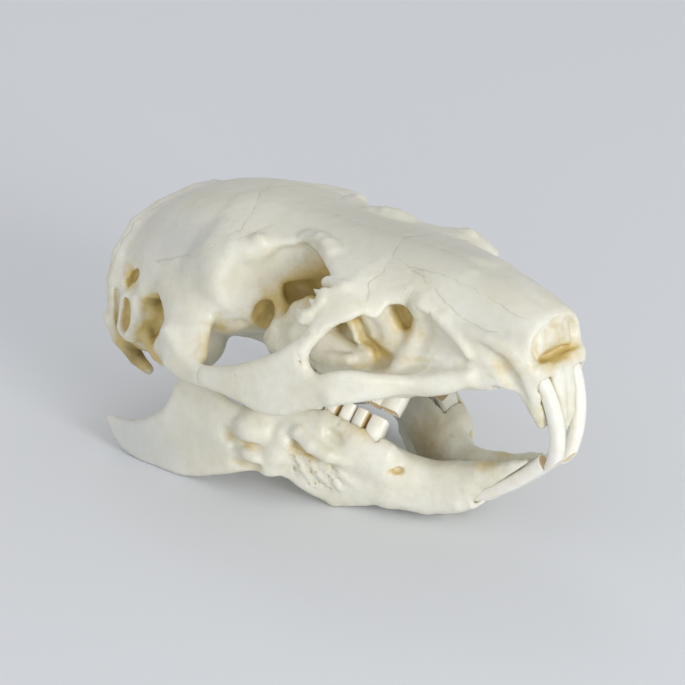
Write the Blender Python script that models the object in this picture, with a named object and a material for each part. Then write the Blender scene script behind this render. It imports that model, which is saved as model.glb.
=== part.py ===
"""Guinea pig skull: cranium, lower jaw, four incisors and sixteen cheek teeth.

The skull stands on its lower jaw. X runs forward to the nose, Y to the animal's left, Z up.
The floor is z = 0. Lengths below are millimetres. Their X starts in the cheek arch, MIDDLE
behind the middle of the finished skull, and every piece is moved to that middle.

A skull is one fused bone of domes, plates, bars and hollows, so each bone is described as a
field of distances: rounded solids are merged into it or cut out of it, and its skin is the
surface where the distance is zero. Only one half is worked out, and the mid plane mirrors it.
"""

import math

import bmesh
import bpy
import numpy as np
from mathutils import Euler, Matrix, Vector

MM = 0.001
MIDDLE = 1.43

# Grid of the bone fields
GRID = 0.62
CRANIUM_LOW = (-35.0, 0.0, 5.0)
CRANIUM_HIGH = (37.0, 21.0, 37.0)
MANDIBLE_LOW = (-31.0, 0.0, -3.0)
MANDIBLE_HIGH = (36.0, 19.0, 18.0)
CRANIUM_TRIANGLES = 4950
MANDIBLE_TRIANGLES = 2000

# Clearance of a tooth in its socket, and of a tooth to its neighbour
CLEARANCE = 0.3


# Fields of distance

def merge(a, b, soft):
    """The smaller of two distances, rounded where they meet."""
    if soft <= 0:
        return np.minimum(a, b)
    h = np.maximum(soft - np.abs(a - b), 0.0) / soft
    return np.minimum(a, b) - h * h * soft * 0.25


def rounded(offsets, radii, power=2.0):
    """Distance to a rounded body whose half sizes are radii: 2 is an ellipsoid, more is boxier."""
    ratio = [np.abs(q) / r for q, r in zip(offsets, radii)]
    norm = sum(q ** power for q in ratio) ** (1.0 / power)
    norm = np.maximum(norm, 1e-4)
    slope = sum((q ** (power - 1.0) / r) ** 2 for q, r in zip(ratio, radii))
    slope = np.sqrt(np.maximum(slope, 1e-9)) * norm ** (1.0 - power)
    return (norm - 1.0) / slope


def ellipsoid(centre, radii, turn=(0, 0, 0)):
    """An ellipsoid, turned about X, Y and Z by degrees."""
    spin = np.array(Euler([math.radians(t) for t in turn]).to_matrix())
    reach = np.abs(spin) @ np.array(radii)

    def distance(x, y, z):
        offset = (x - centre[0], y - centre[1], z - centre[2])
        local = [sum(spin[row][col] * offset[row] for row in range(3)) for col in range(3)]
        return rounded(local, radii)

    return distance, np.array(centre) - reach, np.array(centre) + reach


def bar(points, high, thick, up=(0, 0, 1), power=2.0):
    """A tapering bar through the points. high is its half size towards up, thick across."""
    count = len(points)
    points = [np.array(p, float) for p in points]
    high = np.broadcast_to(high, count)
    thick = np.broadcast_to(thick, count)
    size = max(high.max(), thick.max())

    def distance(x, y, z):
        nearest = None
        for i in range(count - 1):
            a, b = points[i], points[i + 1]
            along = b - a
            length = np.linalg.norm(along)
            along = along / length
            lift = np.array(up, float) - along * np.dot(up, along)
            lift = lift / np.linalg.norm(lift)
            side = np.cross(along, lift)
            offset = (x - a[0], y - a[1], z - a[2])
            run = sum(o * c for o, c in zip(offset, along))
            share = np.clip(run / length, 0.0, 1.0)
            tall = high[i] + (high[i + 1] - high[i]) * share
            wide = thick[i] + (thick[i + 1] - thick[i]) * share
            rest = run - share * length
            rise = sum(o * c for o, c in zip(offset, lift))
            out = sum(o * c for o, c in zip(offset, side))
            here = rounded((rest, rise, out), (np.minimum(tall, wide), tall, wide), power)
            nearest = here if nearest is None else merge(nearest, here, 0.3)
        return nearest

    corners = np.array(points)
    return distance, corners.min(0) - size, corners.max(0) + size


def half_space(point, normal):
    """Everything on the far side of a plane, the side that its normal points to."""
    def distance(x, y, z):
        return -sum((q - p) * n for q, p, n in zip((x, y, z), point, normal))

    return distance, np.full(3, -99.0), np.full(3, 99.0)


def flow(at, known, values):
    """A smooth curve through the known values."""
    known = np.array(known, float)
    values = np.array(values, float)
    slopes = np.gradient(values, known)
    at = np.clip(at, known[0], known[-1])
    i = np.clip(np.searchsorted(known, at) - 1, 0, len(known) - 2)
    width = known[i + 1] - known[i]
    t = (at - known[i]) / width
    start = (1 + 2 * t) * (1 - t) ** 2 * values[i] + t * (1 - t) ** 2 * width * slopes[i]
    end = t * t * (3 - 2 * t) * values[i + 1] + t * t * (t - 1) * width * slopes[i + 1]
    return start + end


def trunk(stations):
    """A body along X. A station is x, centre z, half width, height up, height down, power."""
    table = np.array(stations, float)

    def distance(x, y, z):
        middle, wide, rise, drop, power = [flow(x, table[:, 0], table[:, n]) for n in range(1, 6)]
        height = np.where(z > middle, rise, drop)
        around = rounded((y, z - middle), (wide, height), power)
        ends = np.maximum(table[0, 0] - x, x - table[-1, 0])
        return -merge(-around, -ends, 1.5)

    low = (table[0, 0], 0.0, (table[:, 1] - table[:, 4]).min())
    high = (table[-1, 0], table[:, 2].max(), (table[:, 1] + table[:, 3]).max())
    return distance, np.array(low), np.array(high)


def smooth_outline(corners, steps=3):
    """A closed outline that curves gently through the corners."""
    corners = np.array(corners, float)
    before, after = np.roll(corners, 1, 0), np.roll(corners, -1, 0)
    beyond = np.roll(corners, -2, 0)
    rows = []
    for step in range(steps):
        t = step / steps
        rows.append(0.5 * (2 * corners + (after - before) * t
                           + (2 * before - 5 * corners + 4 * after - beyond) * t * t
                           + (3 * corners - before - 3 * after + beyond) * t ** 3))
    return np.stack(rows, 1).reshape(-1, 2)


def outline_distance(u, v, outline):
    """Distance to a closed outline in a plane, negative inside it."""
    nearest = np.full(np.broadcast(u, v).shape, 1e9)
    inside = np.zeros(nearest.shape, bool)
    for a, b in zip(outline, np.roll(outline, -1, 0)):
        edge = b - a
        share = ((u - a[0]) * edge[0] + (v - a[1]) * edge[1]) / max(edge @ edge, 1e-12)
        share = np.clip(share, 0, 1)
        gap = (u - a[0] - share * edge[0]) ** 2 + (v - a[1] - share * edge[1]) ** 2
        nearest = np.minimum(nearest, gap)
        crosses = (a[1] > v) != (b[1] > v)
        rise = edge[1] if abs(edge[1]) > 1e-12 else 1e-12
        inside ^= crosses & (u < a[0] + (v - a[1]) * edge[0] / rise)
    return np.where(inside, -1.0, 1.0) * np.sqrt(nearest)


def side_plate(corners, middle, half, soft=1.0):
    """A plate seen from the side: corners are (x, z), middle gives its y, half its half thickness."""
    outline = smooth_outline(corners)

    def distance(x, y, z):
        flat_x, flat_z = x[:, 0, :], z[:, 0, :]
        edge = outline_distance(flat_x, flat_z, outline)
        centre = middle(flat_x, flat_z)
        lean = np.sqrt(1 + sum(g ** 2 for g in np.gradient(centre, x[:, 0, 0], z[0, 0, :])))
        thick = np.broadcast_to(half(flat_x, flat_z), centre.shape)
        across = np.abs(y - centre[:, None, :]) / lean[:, None, :] - thick[:, None, :]
        return -merge(-edge[:, None, :], -across, soft)

    low = (outline[:, 0].min(), 0.0, outline[:, 1].min())
    high = (outline[:, 0].max(), 21.0, outline[:, 1].max())
    return distance, np.array(low), np.array(high)


def roof_plate(corners, middle, half, soft=1.0):
    """A plate seen from above: corners are (x, y), middle gives its z, half its half thickness."""
    outline = smooth_outline(corners)

    def distance(x, y, z):
        flat_x, flat_y = x[:, :, 0], y[:, :, 0]
        edge = outline_distance(flat_x, flat_y, outline)
        across = np.abs(z - middle(flat_x, flat_y)[:, :, None]) - half
        return -merge(-edge[:, :, None], -across, soft)

    low = (outline[:, 0].min(), outline[:, 1].min(), 20.0)
    high = (outline[:, 0].max(), outline[:, 1].max(), 37.0)
    return distance, np.array(low), np.array(high)


class Bone:
    """One half of a bone, as distances on a grid from the mid plane outwards."""

    def __init__(self, low, high, step):
        self.step = step
        self.low = np.array(low)
        self.axes = [np.arange(a, b + step, step) for a, b in zip(low, high)]
        self.value = np.full([len(axis) for axis in self.axes], 9.0)

    def block(self, shape, reach):
        """The part of the grid that a shape reaches, and its coordinates."""
        distance, low, high = shape
        spans = []
        for axis, a, b in zip(self.axes, low, high):
            first = max(np.searchsorted(axis, a - reach) - 1, 0)
            spans.append(slice(first, np.searchsorted(axis, b + reach) + 1))
        x, y, z = [axis[span] for axis, span in zip(self.axes, spans)]
        return tuple(spans), distance(x[:, None, None], y[None, :, None], z[None, None, :])

    def add(self, shape, soft=1.0):
        span, distance = self.block(shape, soft + 1.0)
        self.value[span] = merge(self.value[span], distance, soft)

    def cut(self, shape, soft=1.0):
        span, distance = self.block(shape, soft + 1.0)
        self.value[span] = -merge(-self.value[span], distance, soft)


# From a field to a mesh

CORNERS = [(i & 1, i >> 1 & 1, i >> 2) for i in range(8)]
EDGES = [(a, b) for a in range(8) for b in range(a) if bin(a ^ b).count("1") == 1]
FACES = [[n for n in range(8) if CORNERS[n][axis] == side] for axis in range(3) for side in (0, 1)]


def pieces_of(members):
    """How many groups of neighbouring cube corners there are among the members."""
    left, groups = set(members), 0
    while left:
        groups += 1
        wave = [left.pop()]
        while wave:
            here = wave.pop()
            near = [n for n in left if bin(n ^ here).count("1") == 1]
            left.difference_update(near)
            wave.extend(near)
    return groups


def is_pinched(code):
    """True where the skin through a cube of the grid would touch itself."""
    inside = [n for n in range(8) if code >> n & 1]
    outside = [n for n in range(8) if not code >> n & 1]
    if pieces_of(inside) > 1 or pieces_of(outside) > 1:
        return True
    for a, b, c, d in FACES:
        signs = [code >> n & 1 for n in (a, b, c, d)]
        if signs[0] == signs[3] and signs[1] == signs[2] and signs[0] != signs[1]:
            return True
    return False


PINCHED = np.array([is_pinched(code) for code in range(256)])


def corner_view(values, corner):
    i, j, k = corner
    nx, ny, nz = values.shape
    return values[i:nx - 1 + i, j:ny - 1 + j, k:nz - 1 + k]


def cube_codes(value):
    codes = np.zeros([n - 1 for n in value.shape], np.uint8)
    for n, corner in enumerate(CORNERS):
        codes |= (corner_view(value, corner) < 0).astype(np.uint8) << n
    return codes


def unpinch(value):
    """Fill grid points until the skin touches itself nowhere."""
    for _ in range(40):
        cells = np.argwhere(PINCHED[cube_codes(value)])
        if not len(cells):
            break
        spots = cells[:, None, :] + np.array(CORNERS)[None, :, :]
        found = value[spots[..., 0], spots[..., 1], spots[..., 2]]
        outside = np.where(found >= 0, found, np.inf)
        pick = spots[np.arange(len(cells)), outside.argmin(1)]
        value[pick[:, 0], pick[:, 1], pick[:, 2]] = -0.05


def skin(value, low, step):
    """Corner points and four-sided faces of the surface where the field is zero."""
    codes = cube_codes(value)
    cells = np.argwhere((codes > 0) & (codes < 255))
    number = np.full(codes.shape, -1)
    number[cells[:, 0], cells[:, 1], cells[:, 2]] = np.arange(len(cells))
    total = np.zeros((len(cells), 3))
    hits = np.zeros(len(cells))
    for a, b in EDGES:
        spot_a, spot_b = cells + CORNERS[a], cells + CORNERS[b]
        at_a = value[spot_a[:, 0], spot_a[:, 1], spot_a[:, 2]]
        at_b = value[spot_b[:, 0], spot_b[:, 1], spot_b[:, 2]]
        cross = (at_a < 0) != (at_b < 0)
        share = np.where(cross, at_a / np.where(cross, at_a - at_b, 1.0), 0.0)
        spot = np.array(CORNERS[a]) + share[:, None] * (np.array(CORNERS[b]) - CORNERS[a])
        total += np.where(cross[:, None], spot, 0.0)
        hits += cross
    points = (cells + total / hits[:, None]) * step + low
    quads = []
    inside = value < 0
    for axis in range(3):
        u, v = (axis + 1) % 3, (axis + 2) % 3
        first = np.moveaxis(inside, axis, 0)[:-1]
        second = np.moveaxis(inside, axis, 0)[1:]
        change = np.moveaxis(first != second, 0, axis)
        spots = np.argwhere(change)
        spots = spots[(spots[:, u] > 0) & (spots[:, v] > 0)]
        ring = []
        for du, dv in ((0, 0), (1, 0), (1, 1), (0, 1)):
            cell = spots.copy()
            cell[:, u] -= du
            cell[:, v] -= dv
            ring.append(number[cell[:, 0], cell[:, 1], cell[:, 2]])
        ring = np.stack(ring, 1)
        leaving = inside[spots[:, 0], spots[:, 1], spots[:, 2]]
        quads.append(np.where(leaving[:, None], ring, ring[:, ::-1]))
    return points, np.concatenate(quads)


def both_halves(bone):
    """The field of the whole bone, mirrored in the mid plane, with its lowest corner."""
    whole = np.concatenate([bone.value[:, :0:-1, :], bone.value], 1)
    low = bone.low.copy()
    low[1] = -bone.axes[1][-1]
    whole = np.pad(whole, 1, constant_values=9.0)
    return whole, low - bone.step


def keep_largest(mesh):
    """Drop everything but the largest connected surface."""
    shape = bmesh.new()
    shape.from_mesh(mesh)
    left = set(shape.verts)
    groups = []
    while left:
        wave = [left.pop()]
        group = set(wave)
        while wave:
            here = wave.pop()
            near = [e.other_vert(here) for e in here.link_edges]
            near = [n for n in near if n not in group]
            group.update(near)
            wave.extend(near)
        left -= group
        groups.append(group)
    groups.sort(key=len)
    spare = [v for group in groups[:-1] for v in group]
    bmesh.ops.delete(shape, geom=spare, context="VERTS")
    shape.to_mesh(mesh)
    shape.free()


def mesh_of(bone, name):
    """A closed mesh of a bone, in metres."""
    whole, low = both_halves(bone)
    unpinch(whole)
    points, quads = skin(whole, low, bone.step)
    mesh = bpy.data.meshes.new(name)
    mesh.from_pydata((points - (MIDDLE, 0, 0)).tolist(), [], quads.tolist())
    mesh.transform(Matrix.Scale(MM, 4))
    keep_largest(mesh)
    return mesh


# Cranium

def arch_side(x, z):
    """How far out the cheek arch lies: it bows out, and leans in where it climbs to the brow."""
    bow = flow(x, (-19, -15, -11, -5, 3, 8, 12.4, 15.6, 18, 21, 26),
               (14.4, 17.0, 18.0, 18.3, 17.9, 17.0, 15.9, 14.1, 11.6, 9.0, 7.0))
    lean = np.maximum(z - 24.3, 0.0) * 0.66
    return bow - lean


def cranium_field(step):
    bone = Bone(CRANIUM_LOW, CRANIUM_HIGH, step)

    # Braincase, brow and snout, as one tapering trunk
    bone.add(trunk((
        (-30.6, 22.0, 9.4, 5.6, 6.5, 2.6),
        (-28.5, 22.8, 10.8, 6.8, 8.0, 2.5),
        (-25.5, 23.3, 12.0, 8.5, 9.0, 2.4),
        (-21.0, 23.8, 12.8, 9.6, 9.3, 2.3),
        (-16.0, 24.2, 13.0, 10.1, 9.0, 2.3),
        (-11.0, 24.8, 12.4, 9.7, 8.0, 2.3),
        (-7.0, 25.5, 10.6, 8.7, 7.5, 2.3),
        (-3.0, 26.0, 8.0, 7.9, 7.5, 2.3),
        (1.0, 26.5, 7.2, 7.3, 8.0, 2.3),
        (5.0, 26.5, 7.4, 7.3, 8.0, 2.2),
        (9.0, 26.5, 8.4, 7.4, 7.5, 2.2),
        (14.0, 26.8, 9.0, 7.2, 6.8, 2.5),
        (19.0, 27.0, 8.5, 6.9, 6.3, 2.4),
        (24.0, 26.8, 7.6, 6.4, 5.8, 2.2),
        (28.0, 26.6, 6.4, 5.8, 5.4, 2.3),
        (31.0, 26.3, 5.5, 5.2, 4.8, 2.5),
        (33.1, 26.2, 5.0, 4.6, 4.2, 2.7))), 0.5)

    # Tooth-bearing part of the upper jaw, below and beside the tooth roots
    bone.add(bar(((18.5, 4.4, 20.6), (13.5, 4.8, 19.4), (7, 6.0, 19.5), (0, 7.3, 20.3), (-3, 7.6, 21.0)),
                 (2.2, 3.2, 3.5, 3.3, 2.6), (2.2, 2.7, 3.0, 2.9, 2.2), power=2.6), 1.6)

    # Block behind the ear, and the ear capsule below the braincase
    bone.add(ellipsoid((-27.0, 9.0, 18.6), (4.3, 3.4, 7.0)), 1.5)
    bone.add(ellipsoid((-20.5, 8.6, 15.4), (5.6, 4.2, 4.6), (0, 0, -14)), 1.2)

    # Lower edge of the snout, where the lower root of the arch runs out forward
    bone.add(bar(((18, 6.6, 20.9), (22, 6.0, 21.9), (25.5, 5.2, 22.5), (29, 4.4, 23.2)),
                 (1.7, 1.8, 1.8, 1.8), (1.8, 1.8, 1.8, 1.6)), 1.2)

    # Wing plates behind the palate, and the passage of the nose between them
    bone.add(bar(((-1, 3.8, 18.8), (-6, 3.4, 17.2), (-10, 3.9, 16.9), (-13, 4.8, 17.2)),
                 (2.0, 1.7, 1.4, 0.6), 0.8), 1.4)
    bone.cut(ellipsoid((-3.5, 0, 18.6), (4.5, 2.1, 2.6)), 0.8)

    # Sheath of the upper incisor, and the bone between the two
    bone.add(bar(((24, 4.5, 24.2), (28.4, 4.2, 25.6), (31.4, 3.6, 23.9), (32.3, 2.9, 21.4),
                  (32.5, 2.5, 19.4), (32.7, 2.1, 17.6)),
                 (1.8, 2.3, 2.2, 1.8, 1.4, 0.8), (1.5, 1.8, 1.8, 1.6, 1.3, 1.0), up=(1, 0, 1)), 1.2)
    bone.add(bar(((28, 0.8, 23.4), (32.4, 0.8, 23.0), (32.5, 0.7, 20.2)), (2.4, 2.3, 1.4), 1.8), 1.0)

    # Hollows: eye socket, pit under the brow, side of the snout, nose opening
    bone.cut(ellipsoid((0.4, 13.3, 26.5), (8.7, 8.3, 6.6), (0, 0, -8)), 1.4)
    bone.cut(ellipsoid((1.6, 7.4, 27.2), (4.2, 3.4, 4.0)), 1.6)
    bone.cut(ellipsoid((-1.4, 11.2, 29.4), (5.4, 5.0, 4.0)), 1.4)
    bone.cut(ellipsoid((0.0, 14.2, 19.6), (6.0, 5.6, 4.0)), 1.5)
    bone.cut(bar(((12.0, 13.4, 26.8), (18, 11.6, 27.0), (24.4, 9.2, 25.1)),
                 (4.2, 4.6, 2.2), (6.5, 5.5, 2.5)), 0.3)
    bone.cut(ellipsoid((35.2, 0.0, 27.5), (5.3, 4.8, 3.2)), 0.4)

    # Brow plate with the bump behind the eye and the tear bone's knob before it
    bone.add(roof_plate((
        (-13, 0), (-13, 10.0), (-9.5, 10.8), (-7, 10.3), (-5, 8.7), (-2.6, 7.0), (-0.5, 6.7),
        (1, 7.2), (2.8, 8.2), (4.8, 9.4), (6.8, 10.7), (8.6, 11.6), (10.8, 11.7), (13.0, 11.6),
        (14.4, 10.6), (14.6, 9.2), (16, 7.8), (18.8, 6.0), (19, 0)),
        lambda x, y: 33.3 - (0.0185 + 0.0055 * np.maximum(x - 10, 0)) * y * y, 0.6, 1.0), 1.4)
    bone.add(ellipsoid((-11.6, 8.6, 29.6), (4.6, 2.8, 3.2), (0, 0, -10)), 1.2)
    bone.add(bar(((-12.5, 10.9, 30.2), (-9.6, 10.9, 30.6), (-8.0, 10.0, 30.4), (-6.6, 8.4, 31.2)),
                 (1.2, 1.4, 1.4, 1.0), (1.2, 1.3, 1.3, 1.0)), 1.6)

    # Bulge of the temple, and the tooth roots that bulge into the eye socket
    bone.add(ellipsoid((-12.0, 10.8, 25.0), (5.0, 2.6, 6.0), (0, 0, -14)), 1.4)
    bone.add(ellipsoid((-10.6, 11.2, 26.6), (3.4, 2.9, 4.2), (0, 0, -10)), 1.2)
    bone.add(bar(((9.5, 9.0, 20.8), (4.5, 9.4, 21.8), (0.5, 9.2, 21.5), (-2.5, 8.6, 20.4)),
                 (1.6, 2.1, 2.1, 1.6), (1.6, 2.0, 2.0, 1.6)), 1.2)
    bone.add(ellipsoid((2.4, 8.0, 23.8), (2.6, 2.2, 2.6)), 1.0)
    bone.add(ellipsoid((-2.2, 9.2, 20.0), (3.6, 1.9, 2.0)), 1.0)
    bone.cut(ellipsoid((-6.2, 8.7, 22.3), (1.35, 1.9, 2.05)), 0.35)
    bone.cut(ellipsoid((-3.7, 5.4, 24.9), (2.3, 2.4, 1.5), (0, 20, 0)), 0.5)

    # Cheek arch, with the bar before the eye and the lower root that leaves the big opening
    bone.add(side_plate((
        (-16.6, 19.5), (-15.8, 17.2), (-14.2, 15.6), (-11.5, 15.0), (-6.4, 15.4), (-1.8, 15.3),
        (1.4, 14.7), (4.5, 14.9), (8, 16.4), (12.4, 18.3), (16, 19.6), (19, 20.6), (23, 21.4),
        (26.2, 22.0), (26.0, 23.8), (23.5, 23.4), (20.4, 22.2), (16.8, 22.6), (13.9, 23.0),
        (11.5, 22.4), (9.6, 21.7), (8.5, 23.0), (9.1, 25.1),
        (10.6, 27.3), (12.4, 28.4), (13.2, 29.4), (11.4, 30.8), (8.6, 31.5), (7.9, 30.3),
        (7.9, 28.8), (7.3, 26.4), (5.6, 24.5), (3.3, 22.8), (0.4, 21.2), (-3.1, 19.6),
        (-7.4, 18.3), (-10.5, 18.6), (-13.5, 20.4), (-15.4, 21.0)),
        arch_side, lambda x, z: 0.85, 1.1), 0.9)

    # Lower root of the arch, a shelf from the tooth row out to it
    bone.add(bar(((11.0, 15.4, 19.4), (15.0, 11.2, 20.1), (17.6, 7.0, 20.8)),
                 (1.2, 1.2, 1.4), (2.4, 3.0, 3.4)), 1.0)
    bone.add(ellipsoid((20.6, 8.2, 21.0), (4.2, 1.9, 1.5), (0, -12, -12)), 1.2)

    # Hind root of the arch
    bone.add(bar(((-16.2, 11.4, 24.8), (-14.4, 13.6, 22.2), (-13.2, 15.4, 20.2), (-11.8, 17.2, 17.6)),
                 (1.4, 1.5, 1.5, 1.3), (5.0, 3.7, 3.2, 3.0), up=(0, 0.7, 0.72)), 1.4)

    # Crest round the back of the skull, and the hooks below it
    bone.add(bar(((-26.6, 0, 31.0), (-28.0, 5, 29.8), (-29.2, 8, 28.0), (-30.1, 10.2, 24.5),
                  (-30.5, 10.9, 21.2), (-30.6, 10.9, 18), (-30.5, 10.5, 15)),
                 (1.3, 1.2, 1.2, 1.3, 1.3, 1.3, 1.3), 1.0, up=(1, 0, 0)), 1.5)
    bone.add(bar(((-31.0, 10.6, 15.5), (-30.4, 10.0, 12.8), (-28.6, 9.4, 10.2), (-26.8, 9.1, 9.0)),
                 (1.6, 1.3, 0.9, 0.7), (1.8, 1.5, 1.0, 0.7), up=(0, 1, 0)), 0.9)

    # Ear opening with its raised rim, the slit above it, the hollow before it
    bone.cut(bar(((-20.6, 12.9, 21.0), (-21.4, 12.9, 19.2), (-22.4, 12.9, 17.2), (-23.8, 12.6, 15.2)),
                 (1.2, 1.9, 1.1, 1.3), (2.6, 3.4, 2.4, 2.2), up=(1, 0, 0.4)), 0.8)
    bone.add(bar(((-26.2, 12.2, 19.8), (-26.4, 12.2, 17.4), (-27.4, 12.0, 15.0)), (2.0, 2.1, 1.9), 1.0,
                 up=(1, 0, 0)), 0.5)
    bone.cut(bar(((-26.6, 13.3, 19.4), (-26.9, 13.3, 17.4), (-27.5, 13.0, 15.8)), (0.8, 1.0, 0.8), 3.0,
                 up=(1, 0, 0)), 0.3)
    bone.cut(bar(((-25.4, 13.2, 23.8), (-26.4, 13.2, 22.8), (-27.4, 13.0, 21.4)), (0.5, 0.75, 0.5), 2.4,
                 up=(1, 0, 0)), 0.3)

    # Wall and floor of the cheek opening: pit, ridge before it, groove, root of a tooth
    bone.cut(ellipsoid((14.6, 6.4, 27.9), (1.9, 3.4, 2.3)), 0.5)
    bone.add(bar(((18.0, 7.7, 30.2), (17.2, 6.2, 27.4), (16.4, 6.3, 25.2), (16.3, 7.4, 23.4),
                  (15.4, 8.4, 21.8)), 0.8, 0.9), 1.2)
    bone.add(bar(((10.4, 7.7, 28.4), (12.4, 7.0, 26.2), (13.4, 6.7, 24.0)),
                 (1.3, 1.3, 1.0), (1.3, 1.2, 1.0)), 1.4)
    bone.cut(bar(((9.8, 8.6, 24.6), (11.6, 8.2, 22.8), (13.8, 8.8, 21.7)), 0.6, 0.7), 0.5)
    bone.add(bar(((4.6, 11.2, 20.9), (7.5, 11.2, 21.3), (9.6, 10.8, 21.6)), 0.85, 0.85), 0.3)
    bone.add(ellipsoid((10.6, 8.9, 22.0), (1.4, 0.9, 1.3)), 1.0)

    # Root of the incisor bulging through the snout, and the furrow below it
    bone.add(bar(((25.5, 6.2, 28.6), (28.8, 5.5, 28.0), (31.2, 4.6, 26.6), (32.5, 3.8, 24.6)),
                 (0.8, 1.0, 1.1, 1.0), (0.8, 1.0, 1.1, 1.0)), 0.7)
    bone.cut(bar(((27.4, 6.9, 27.0), (29.4, 6.4, 25.8), (31.0, 5.8, 23.6), (32.0, 4.7, 21.0)),
                 (0.5, 0.9, 1.0, 0.5), (0.5, 0.9, 1.0, 0.5)), 0.6)

    # Slits in the palate behind the incisors
    bone.cut(bar(((19.0, 0.9, 19.8), (24.5, 0.9, 21.2)), 0.9, 0.45), 0.3)

    # Scrolls and the wall between them inside the nose
    bone.add(ellipsoid((30.9, 2.0, 27.8), (2.0, 1.4, 1.9), (0, 20, 10)), 0.5)
    bone.add(bar(((28.0, 0, 27.4), (31.2, 0, 26.6)), 3.0, 0.4), 0.5)

    # Joint knobs and the great opening at the back
    bone.cut(ellipsoid((-32.6, 0, 19.5), (6.5, 3.7, 3.0)), 0.6)
    bone.add(ellipsoid((-31.0, 3.5, 17.2), (2.1, 1.5, 2.6), (20, 0, 20)), 0.7)
    bone.cut(ellipsoid((-32.4, 6.8, 17.0), (2.0, 1.6, 2.4)), 0.8)
    return bone


# Lower jaw

def jaw_side(x, z):
    """How far out the jaw lies: in at the chin, out at the angle, in again towards the joint."""
    bow = flow(x, (-29, -24, -18, -12, -7, -3, 1, 6, 11, 16, 22),
               (15.0, 15.2, 15.1, 14.9, 14.2, 12.6, 10.2, 8.0, 6.2, 4.2, 2.6))
    return bow - flow(z, (-3, 5, 9, 18), (0, 0, 0.45, 1.9))


def mandible_field(step):
    bone = Bone(MANDIBLE_LOW, MANDIBLE_HIGH, step)

    # Angle and branch of the jaw: a thin plate that ends in a point behind
    bone.add(side_plate((
        (-28.6, 4.1), (-27.4, 2.0), (-25.7, 0.6), (-22.8, -0.2), (-18.9, -0.4), (-13.8, 0.1),
        (-9, 1.7), (-4.5, 3.3), (-2.4, 3.5), (-1.0, 3.3), (1, 2.6), (3.3, 1.6), (6, 2.0), (10, 3.0),
        (12, 7.0), (9, 10.0), (3, 11.2), (-1, 11.8), (-4.5, 11.3), (-8, 11.8), (-11, 13.4), (-14, 13.6),
        (-16.2, 12.4), (-17.0, 10.6), (-18.1, 8.4), (-20.3, 6.6), (-23.7, 5.0), (-26.6, 4.4)),
        jaw_side, lambda x, z: flow(x, (-29, -18, -8, -2, 12), (0.7, 0.75, 0.9, 1.1, 1.1)), 1.0), 0.5)

    # Body of the jaw, from the tooth row to the chin
    bone.add(bar(((-3, 11.2, 7.4), (2, 9.3, 6.4), (7, 7.4, 5.4), (12, 5.4, 4.7), (16, 3.4, 4.1),
                  (20, 2.3, 5.0), (23.5, 1.9, 6.6)),
                 (2.4, 3.4, 4.0, 3.8, 3.4, 3.2, 2.5), (1.8, 2.3, 2.7, 2.7, 2.4, 2.2, 1.8),
                 power=2.4), 1.2)
    bone.add(bar(((21, 1.8, 5.6), (25, 1.7, 7.6), (28.3, 1.5, 9.7), (29.9, 1.3, 11.0)),
                 (2.6, 1.9, 1.2, 0.5), (2.0, 1.7, 1.2, 0.6)), 0.8)
    bone.add(bar(((12.5, 1.9, 1.7), (16.5, 1.0, 1.3), (20.5, 0.9, 2.9)), 1.5, 1.4), 1.0)

    # Bone round the cheek teeth, leaning in as they do
    bone.add(bar(((-3.5, 11.4, 9.6), (0, 10.6, 9.8), (4.5, 9.5, 9.9), (8.3, 8.4, 9.0), (12, 7.2, 7.8)),
                 (2.8, 2.9, 3.0, 2.9, 2.4), (1.8, 1.9, 2.0, 2.0, 1.6), up=(0, -0.25, 1), power=2.4), 1.4)

    # Joint knob, and the thin inner face behind the tooth roots
    bone.add(ellipsoid((-13.6, 13.0, 12.6), (3.0, 1.5, 1.3)), 0.8)
    bone.cut(ellipsoid((0.6, 5.2, 2.4), (5.6, 4.3, 3.3)), 1.0)

    # Ridge of the chewing muscle, the bulge below it, knobs and pit on the outer face
    bone.add(bar(((1.6, 11.0, 10.4), (3.6, 11.2, 9.5), (5.6, 11.0, 8.4), (8.0, 10.2, 7.6)),
                 (0.9, 1.0, 1.0, 0.7), (0.9, 1.0, 1.0, 0.7)), 0.7)
    bone.cut(bar(((1.6, 13.0, 9.0), (3.6, 13.1, 7.8), (5.8, 12.4, 6.9)), (0.6, 0.8, 0.6), 1.2), 0.8)
    bone.add(bar(((1.5, 9.6, 2.9), (5.2, 8.1, 1.3), (8.5, 6.7, 1.6)),
                 (1.2, 1.5, 1.1), (1.4, 1.7, 1.3)), 1.4)
    bone.add(ellipsoid((-3.4, 13.5, 9.5), (2.3, 1.3, 1.6), (0, 20, 0)), 1.4)
    bone.add(ellipsoid((-3.8, 13.5, 6.1), (2.0, 1.4, 1.0), (0, 15, 0)), 1.0)
    bone.add(bar(((-1.8, 12.4, 5.0), (-0.7, 12.2, 6.9), (0.4, 11.8, 9.0)), 1.4, 1.2), 1.0)
    bone.cut(ellipsoid((-6.8, 15.7, 7.7), (1.3, 1.4, 1.1)), 0.6)

    # Slanted mouth of the incisor's socket, and the nerve's hole in the side
    bone.cut(half_space((21.9, 0, 3.2), (0.69, 0, -0.72)), 0.4)
    bone.cut(ellipsoid((14.2, 8.0, 6.9), (0.75, 1.2, 0.45)), 0.2)
    return bone


# Teeth

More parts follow.
